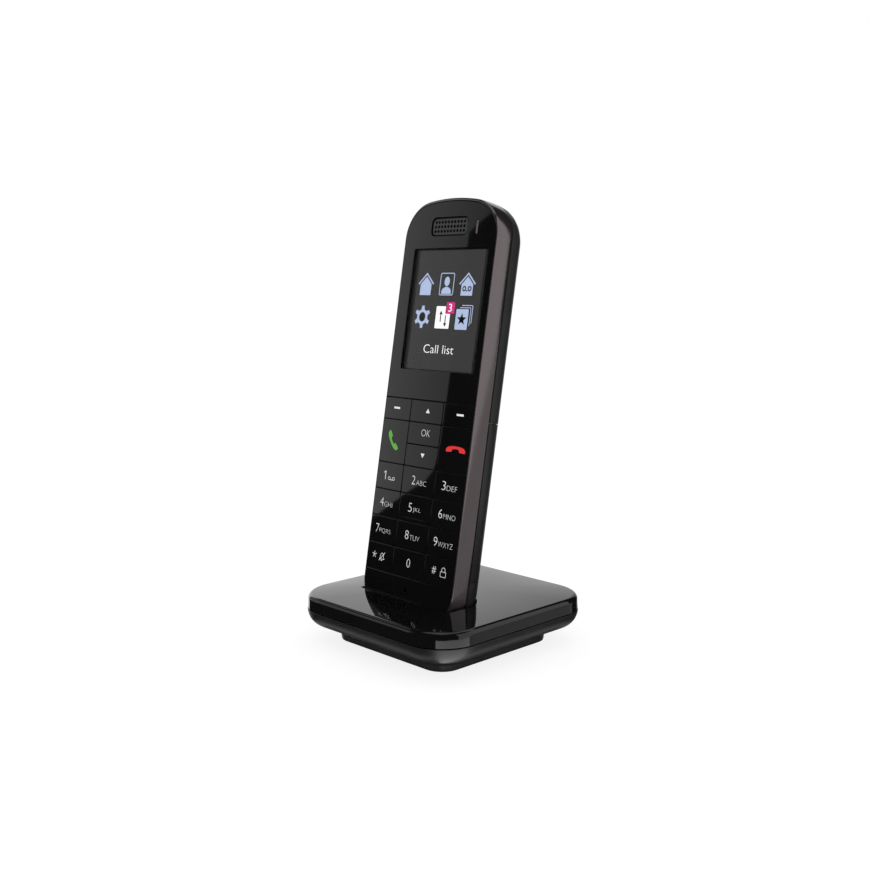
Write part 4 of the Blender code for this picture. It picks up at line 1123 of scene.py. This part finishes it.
key_boxes = {}
for node in nodes_like("key_"):
    if node == "key_mat":
        continue
    low, high = own_box(node)
    left_edge, right_edge = low.x < -20, high.x > 20
    side = HANDSET_HALF - PANEL_SIDE
    low = Vector((-side if left_edge else low.x - KEY_SPREAD, 0, low.z - KEY_SPREAD))
    high = Vector((side if right_edge else high.x + KEY_SPREAD, high.y, high.z + KEY_SPREAD))
    key_boxes[node] = (low, high)
    tile = piece_from(node + "_tile",
                      lambda bm: draw_key(bm, low, high, (low.x + high.x) / 2, (low.z + high.z) / 2),
                      glossy_face, handset_frame)
    bow(tile)
    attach(tile, node)
    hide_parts(node)


def receiver(middle, size, flat, turn):
    """A telephone receiver lying face down: a bowed handle with a lobe at each end."""
    right = [(0, 1.4), (1.6, 1.33), (3.0, 1.08), (4.05, 0.6), (4.6, -0.05), (4.75, -0.75), (4.65, -1.4),
             (4.3, -1.6), (2.1, -1.35), (1.75, -1.15), (1.62, -0.3), (1.35, -0.02), (0, 0.12)]
    outline = [(x, z * flat) for x, z in right + [(-x, z) for x, z in right[-2:0:-1]]]
    return mapped(outline, middle, size, turn)


def key_middle(node):
    low, high = key_boxes[node]
    return (low.x + high.x) / 2, (low.z + high.z) / 2


def legend(node, meshes, material, name="legend"):
    piece = printed(node + "_" + name, meshes, material, node)


WORDS = {"2": ("ABC", 5.2), "3": ("DEF", 4.9), "4": ("GHI", 4.5), "5": ("JKL", 4.1), "6": ("MNO", 5.7),
         "7": ("PQRS", 6.3), "8": ("TUV", 5.1), "9": ("WXYZ", 7.1)}
for digit in "1234567890":
    node = "key_" + digit
    middle = key_middle(node)
    column = 1 if digit == "0" else (int(digit) - 1) % 3
    word, word_width = WORDS.get(digit, ("", 0))
    x = 0.2 if digit == "0" else DIGIT_X[column] - (0.75 if len(word) == 4 else 0)
    z = middle[1] + 0.2
    if digit == "1":
        meshes = [filled([mapped([(0.02, -1.62), (0.4, -1.62), (0.4, 1.62), (0.1, 1.62),
                                  (-0.75, 1.05), (-0.75, 0.66), (0.02, 1.14)], (x, z))])]
    else:
        meshes = [lettering(digit, (x, z), DIGIT_HEIGHT, DIGIT_WIDTH, -0.012)]
    if word:
        start = x + DIGIT_WIDTH / 2 + (0.35 if len(word) == 4 else 0.6)
        meshes.append(lettering(word, (start + word_width / 2, z - (DIGIT_HEIGHT - LETTER_HEIGHT) / 2),
                                LETTER_HEIGHT, word_width, -0.02))
    if digit == "1":
        for side in (-1, 1):
            spool = (x + 3.7 + side * 1.2, z - 0.95)
            meshes.append(filled([ring_loop(0.72, 0.62, spool, 20), ring_loop(0.5, 0.4, spool, 20)]))
        meshes.append(filled([bar(x + 2.5, z - 1.57, x + 4.9, z - 1.35)]))
    legend(node, meshes, legend_grey)

star_x, star_z = DIGIT_X[0] - 0.6, key_middle("key_star")[1]
spokes = [filled([mapped(bar(-0.12, 0, 0.12, 1.25), (star_x, star_z + 0.3), 1.0, 2 * math.pi * i / 5)])
          for i in range(5)]
bell = [(-1.5, -1.05), (1.5, -1.05), (1.05, -0.45), (0.95, 0.55), (0.5, 1.2), (0, 1.35), (-0.5, 1.2),
        (-0.95, 0.55), (-1.05, -0.45)]
bell_inside = [(-1.1, -0.86), (1.1, -0.86), (0.84, -0.4), (0.74, 0.5), (0.38, 1.03), (0, 1.15),
               (-0.38, 1.03), (-0.74, 0.5), (-0.84, -0.4)]
bell_place = (star_x + 4.4, star_z + 0.1)
spokes.append(filled([mapped(bell, bell_place), mapped(bell_inside, bell_place)]))
spokes.append(filled([mapped(bar(-0.11, -2.2, 0.11, 2.2), bell_place, 1.0, -0.75)]))
spokes.append(filled([ring_loop(0.36, 0.22, (bell_place[0], bell_place[1] - 1.4), 12)]))
legend("key_star", spokes, legend_white)

hash_x, hash_z = 13.3, key_middle("key_hash")[1] + 0.2
bars = [filled([mapped(bar(-0.11, -1.35, 0.11, 1.35), (hash_x + side * 0.4, hash_z), 1.0, -0.16)])
        for side in (-1, 1)]
bars += [filled([bar(hash_x - 1.05, hash_z + up - 0.1, hash_x + 1.05, hash_z + up + 0.1)])
         for up in (-0.45, 0.45)]
lock = (hash_x + 4.5, hash_z - 0.3)
bars.append(filled([oblong(1.35, 1.0, 0.25, (lock[0], lock[1] - 0.6), 4),
                    oblong(1.15, 0.8, 0.1, (lock[0], lock[1] - 0.6), 4)]))
shackle = [(lock[0] + r * math.cos(math.pi * i / 12), lock[1] + 0.95 + r * math.sin(math.pi * i / 12))
           for r, steps in ((0.95, range(13)), (0.73, range(12, -1, -1))) for i in steps]
shackle = shackle[:13] + [(lock[0] - 0.95, lock[1] + 0.35), (lock[0] - 0.73, lock[1] + 0.35)] \
    + shackle[13:] + [(lock[0] + 0.73, lock[1] + 0.35), (lock[0] + 0.95, lock[1] + 0.35)]
bars.append(filled([shackle]))
legend("key_hash", bars, legend_grey)

legend("key_ok", [lettering("OK", (0.95, key_middle("key_ok")[1] + 0.5), 2.5, 4.4, -0.02)], legend_white)
for node, point in (("key_up", 1), ("key_down", -1)):
    z = key_middle(node)[1] + 0.4
    legend(node, [filled([[(-0.3, z - 0.75 * point), (1.7, z - 0.75 * point), (0.7, z + 0.85 * point)]])],
           legend_white)
for node, shift in (("key_soft_left", -0.4), ("key_soft_right", 1.0)):
    x, z = key_middle(node)
    legend(node, [filled([oblong(1.65, 0.36, 0.1, (x + shift, z + 0.3), 3)])], legend_white)
legend("key_talk", [filled([receiver((-16.4, 65.4), 0.9, 0.9, math.radians(129))])], call_green)
legend("key_end", [filled([receiver((16.5, 65.75), 0.97, 0.78, 0.0)])], end_red)
x, z = key_middle("key_5")
rib = piece_from("key_5_rib", lambda bm: add_round(bm, (-5.0, 0.0, z - 3.7), (5.0, 0.0, z - 3.7),
                                                   [(0, 0.05), (0.01, 0.16), (0.99, 0.16), (1, 0.05)], 10),
                 glossy_face, handset_frame)
bow(rib)
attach(rib, "key_5")

# ------------------------------------------------------------------ rear housing
# The back is a satin dark grey moulding that rounds over into both ends. The loudspeaker speaks through
# five slots in it, the charging contacts sit in its foot and the batteries in a bay behind a cover.

BACK_HALF = HANDSET_HALF - 0.18
BACK_SHARES = (1.0, 0.996, 0.985, 0.965, 0.935, 0.895, 0.84, 0.77, 0.69, 0.6, 0.5, 0.4, 0.3, 0.2, 0.1, 0.03)
BAND_GAP = 0.3
BAY_FLOOR_FRONT = 6.2
BAY_FLOOR_BACK = 7.4
SPEAKER_SLOTS = 5
SLOT_PITCH = 3.0
SLOT_HALF = (6.0, 0.6)
OUTSIDE = 48


def back_ring(share, grow=0.0):
    """One ring of the rounded back; share runs from 1 at its rim to 0 on its ridge."""
    depth = (1 - share ** BACK_FULLNESS) ** (1 / BACK_FULLNESS)
    side = HANDSET_HALF - (BACK_HALF + grow) * share
    end = BACK_END_ROUND * (1 - share) - grow + HANDSET_HALF - BACK_HALF
    return stand(face_outline(side, end, (HANDSET_CORNER + grow) * share),
                 BAND_DEPTH + (BACK_DEPTH + grow) * depth)


cover_low, cover_high = own_box("battery_cover")
rear_high = own_box("rear_housing")[1]
speaker_low, speaker_high = own_box("loudspeaker")
COVER_BOTTOM = cover_low.z - 0.15
COVER_TOP = cover_high.z + 0.15
INNER_SIDE = WALL + 0.3


def draw_back(bm):
    rim = BAND_DEPTH + BAND_GAP
    rings = [stand(face_outline(INNER_SIDE), BAY_FLOOR_FRONT), stand(face_outline(INNER_SIDE), rim),
             stand(face_outline(0.3), rim), stand(face_outline(0.2), rim + 0.1)]
    skin(bm, rings + [back_ring(share) for share in BACK_SHARES[2:]])


def draw_back_hollow(bm):
    skin(bm, [stand(face_outline(INNER_SIDE + WALL), 0.0)]
         + [back_ring(share, -WALL) for share in BACK_SHARES[4:]])


def draw_upper_room(bm):
    add_block(bm, (-OUTSIDE, -5, COVER_TOP + WALL), (OUTSIDE, 40, HANDSET_LENGTH + 10))


def draw_bay(bm):
    add_block(bm, (-OUTSIDE, BAY_FLOOR_BACK, COVER_BOTTOM), (OUTSIDE, 40, COVER_TOP))


def draw_back_openings(bm):
    """The room over the charging contacts."""
    contact_low, contact_high = own_box("charge_contact_right")
    reach_x = contact_high.x + 1.3
    add_block(bm, (-reach_x, -5, 2.5), (reach_x, contact_high.y + 1.3, COVER_BOTTOM - WALL))


def draw_contact_slots(bm):
    for node in ("charge_contact_left", "charge_contact_right"):
        low, high = own_box(node)
        add_block(bm, (low.x - 0.3, low.y - 0.3, -5), (high.x + 0.3, high.y + 0.3, 3.5))


def draw_speaker_slots(bm):
    middle = (speaker_low.z + speaker_high.z) / 2
    for i in range(SPEAKER_SLOTS):
        outline = oblong(*SLOT_HALF, 0.59, (0, middle + (i - SPEAKER_SLOTS // 2) * SLOT_PITCH), 6)
        straight_cut(bm, outline, rear_high.y - 2.5, rear_high.y + 1)


def draw_bay_screw_holes(bm):
    for node in nodes_like("handset_screw_"):
        low, high = own_box(node)
        x, z = (low.x + high.x) / 2, (low.z + high.z) / 2
        add_round(bm, (x, 0, z), (x, BAY_FLOOR_BACK + 1, z), [(0, 1.3), (1, 1.3)], 24)


satin_grey = moulded("satin_grey_plastic", (0.0185, 0.0192, 0.019), 0.36, 0.008, 0.22, ior=1.42)
back = piece_from("back_shell", draw_back, satin_grey, handset_frame)
hollow = piece_from("back_hollow", draw_back_hollow, None, handset_frame)
carve(hollow, [piece_from("upper_room", draw_upper_room, None, handset_frame)], "INTERSECT")
carve(back, [hollow] + [piece_from("tool", draw, None, handset_frame) for draw in
                        (draw_bay, draw_back_openings, draw_contact_slots, draw_speaker_slots,
                         draw_bay_screw_holes)], sharp=32)
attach(back, "handset")
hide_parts("rear_housing")

# ------------------------------------------------------------------ batteries and their cover
# Two rechargeable cells in a printed wrap lie side by side between sprung metal strips. The cover is
# the same satin moulding as the back and slides off it to the rear.


def cell_wrap(add):
    """Shrink-wrapped green label with a darker band round one end and silver print."""
    place = add("TexCoord")
    along = add("SeparateXYZ", {"Vector": place.outputs["Generated"]})
    bands = add("ValToRGB", {"Fac": along.outputs["Z"]})
    bands.color_ramp.interpolation = "CONSTANT"
    bands.color_ramp.elements[0].color = (0.02, 0.02, 0.022, 1)
    bands.color_ramp.elements[1].position = 0.16
    bands.color_ramp.elements[1].color = (0.05, 0.26, 0.09, 1)
    for position, colour in ((0.84, (0.5, 0.5, 0.5, 1)), (0.87, (0.05, 0.26, 0.09, 1)),
                             (0.965, (0.6, 0.6, 0.58, 1))):
        bands.color_ramp.elements.new(position).color = colour
    cloud = add("TexNoise", {"Vector": place.outputs["Object"], "Scale": 300.0})
    gloss = add("MapRange", {"Value": cloud.outputs["Fac"], "To Min": 0.25, "To Max": 0.42})
    bump = add("Bump", {"Height": cloud.outputs["Fac"], "Distance": 0.00003})
    return add("BsdfPrincipled", {"Base Color": bands.outputs["Color"], "Roughness": gloss.outputs[0],
                                  "Normal": bump.outputs["Normal"]})


dress(["battery_cell_left", "battery_cell_right"], finish_material("cell_wrap", cell_wrap))
dress(["battery_contacts_bottom", "battery_contacts_top"], zinc)


def cover_section(grow, z):
    """The cover's cross-section, which is the same all the way up: its skin, then its inside."""
    points = []
    for i in range(49):
        a = math.pi * i / 48
        share = abs(math.cos(a)) ** (2 / BACK_FULLNESS) * math.copysign(1, math.cos(a))
        deep = math.sin(a) ** (2 / BACK_FULLNESS)
        points.append(((BACK_HALF + grow) * share, BAND_DEPTH + (BACK_DEPTH + grow) * deep, z))
    return points


def draw_cover(bm):
    rim = BAND_DEPTH + BAND_GAP

    def section(grow, z):
        outer = [(x, max(y, rim), zz) for x, y, zz in cover_section(grow, z)]
        inner = [(x, max(y, rim), zz) for x, y, zz in cover_section(-WALL, z)]
        return outer + inner[::-1]

    low, high = cover_low.z, cover_high.z
    stations = [(-0.5, low - 0.14), (-0.5, low), (-0.14, low), (-0.04, low + 0.04), (0.0, low + 0.14),
                (0.0, high - 0.14), (-0.04, high - 0.04), (-0.14, high), (-0.5, high), (-0.5, high + 0.14)]
    loops = skin(bm, [section(grow, z) for grow, z in stations], False, False)
    count = len(loops[0])
    for loop in (loops[0], loops[-1]):
        for i in range(count // 2 - 1):
            bm.faces.new((loop[i], loop[i + 1], loop[count - 2 - i], loop[count - 1 - i]))


cover = piece_from("battery_cover_shell", draw_cover, satin_grey, handset_frame)
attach(cover, "battery_cover")
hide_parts("battery_cover")
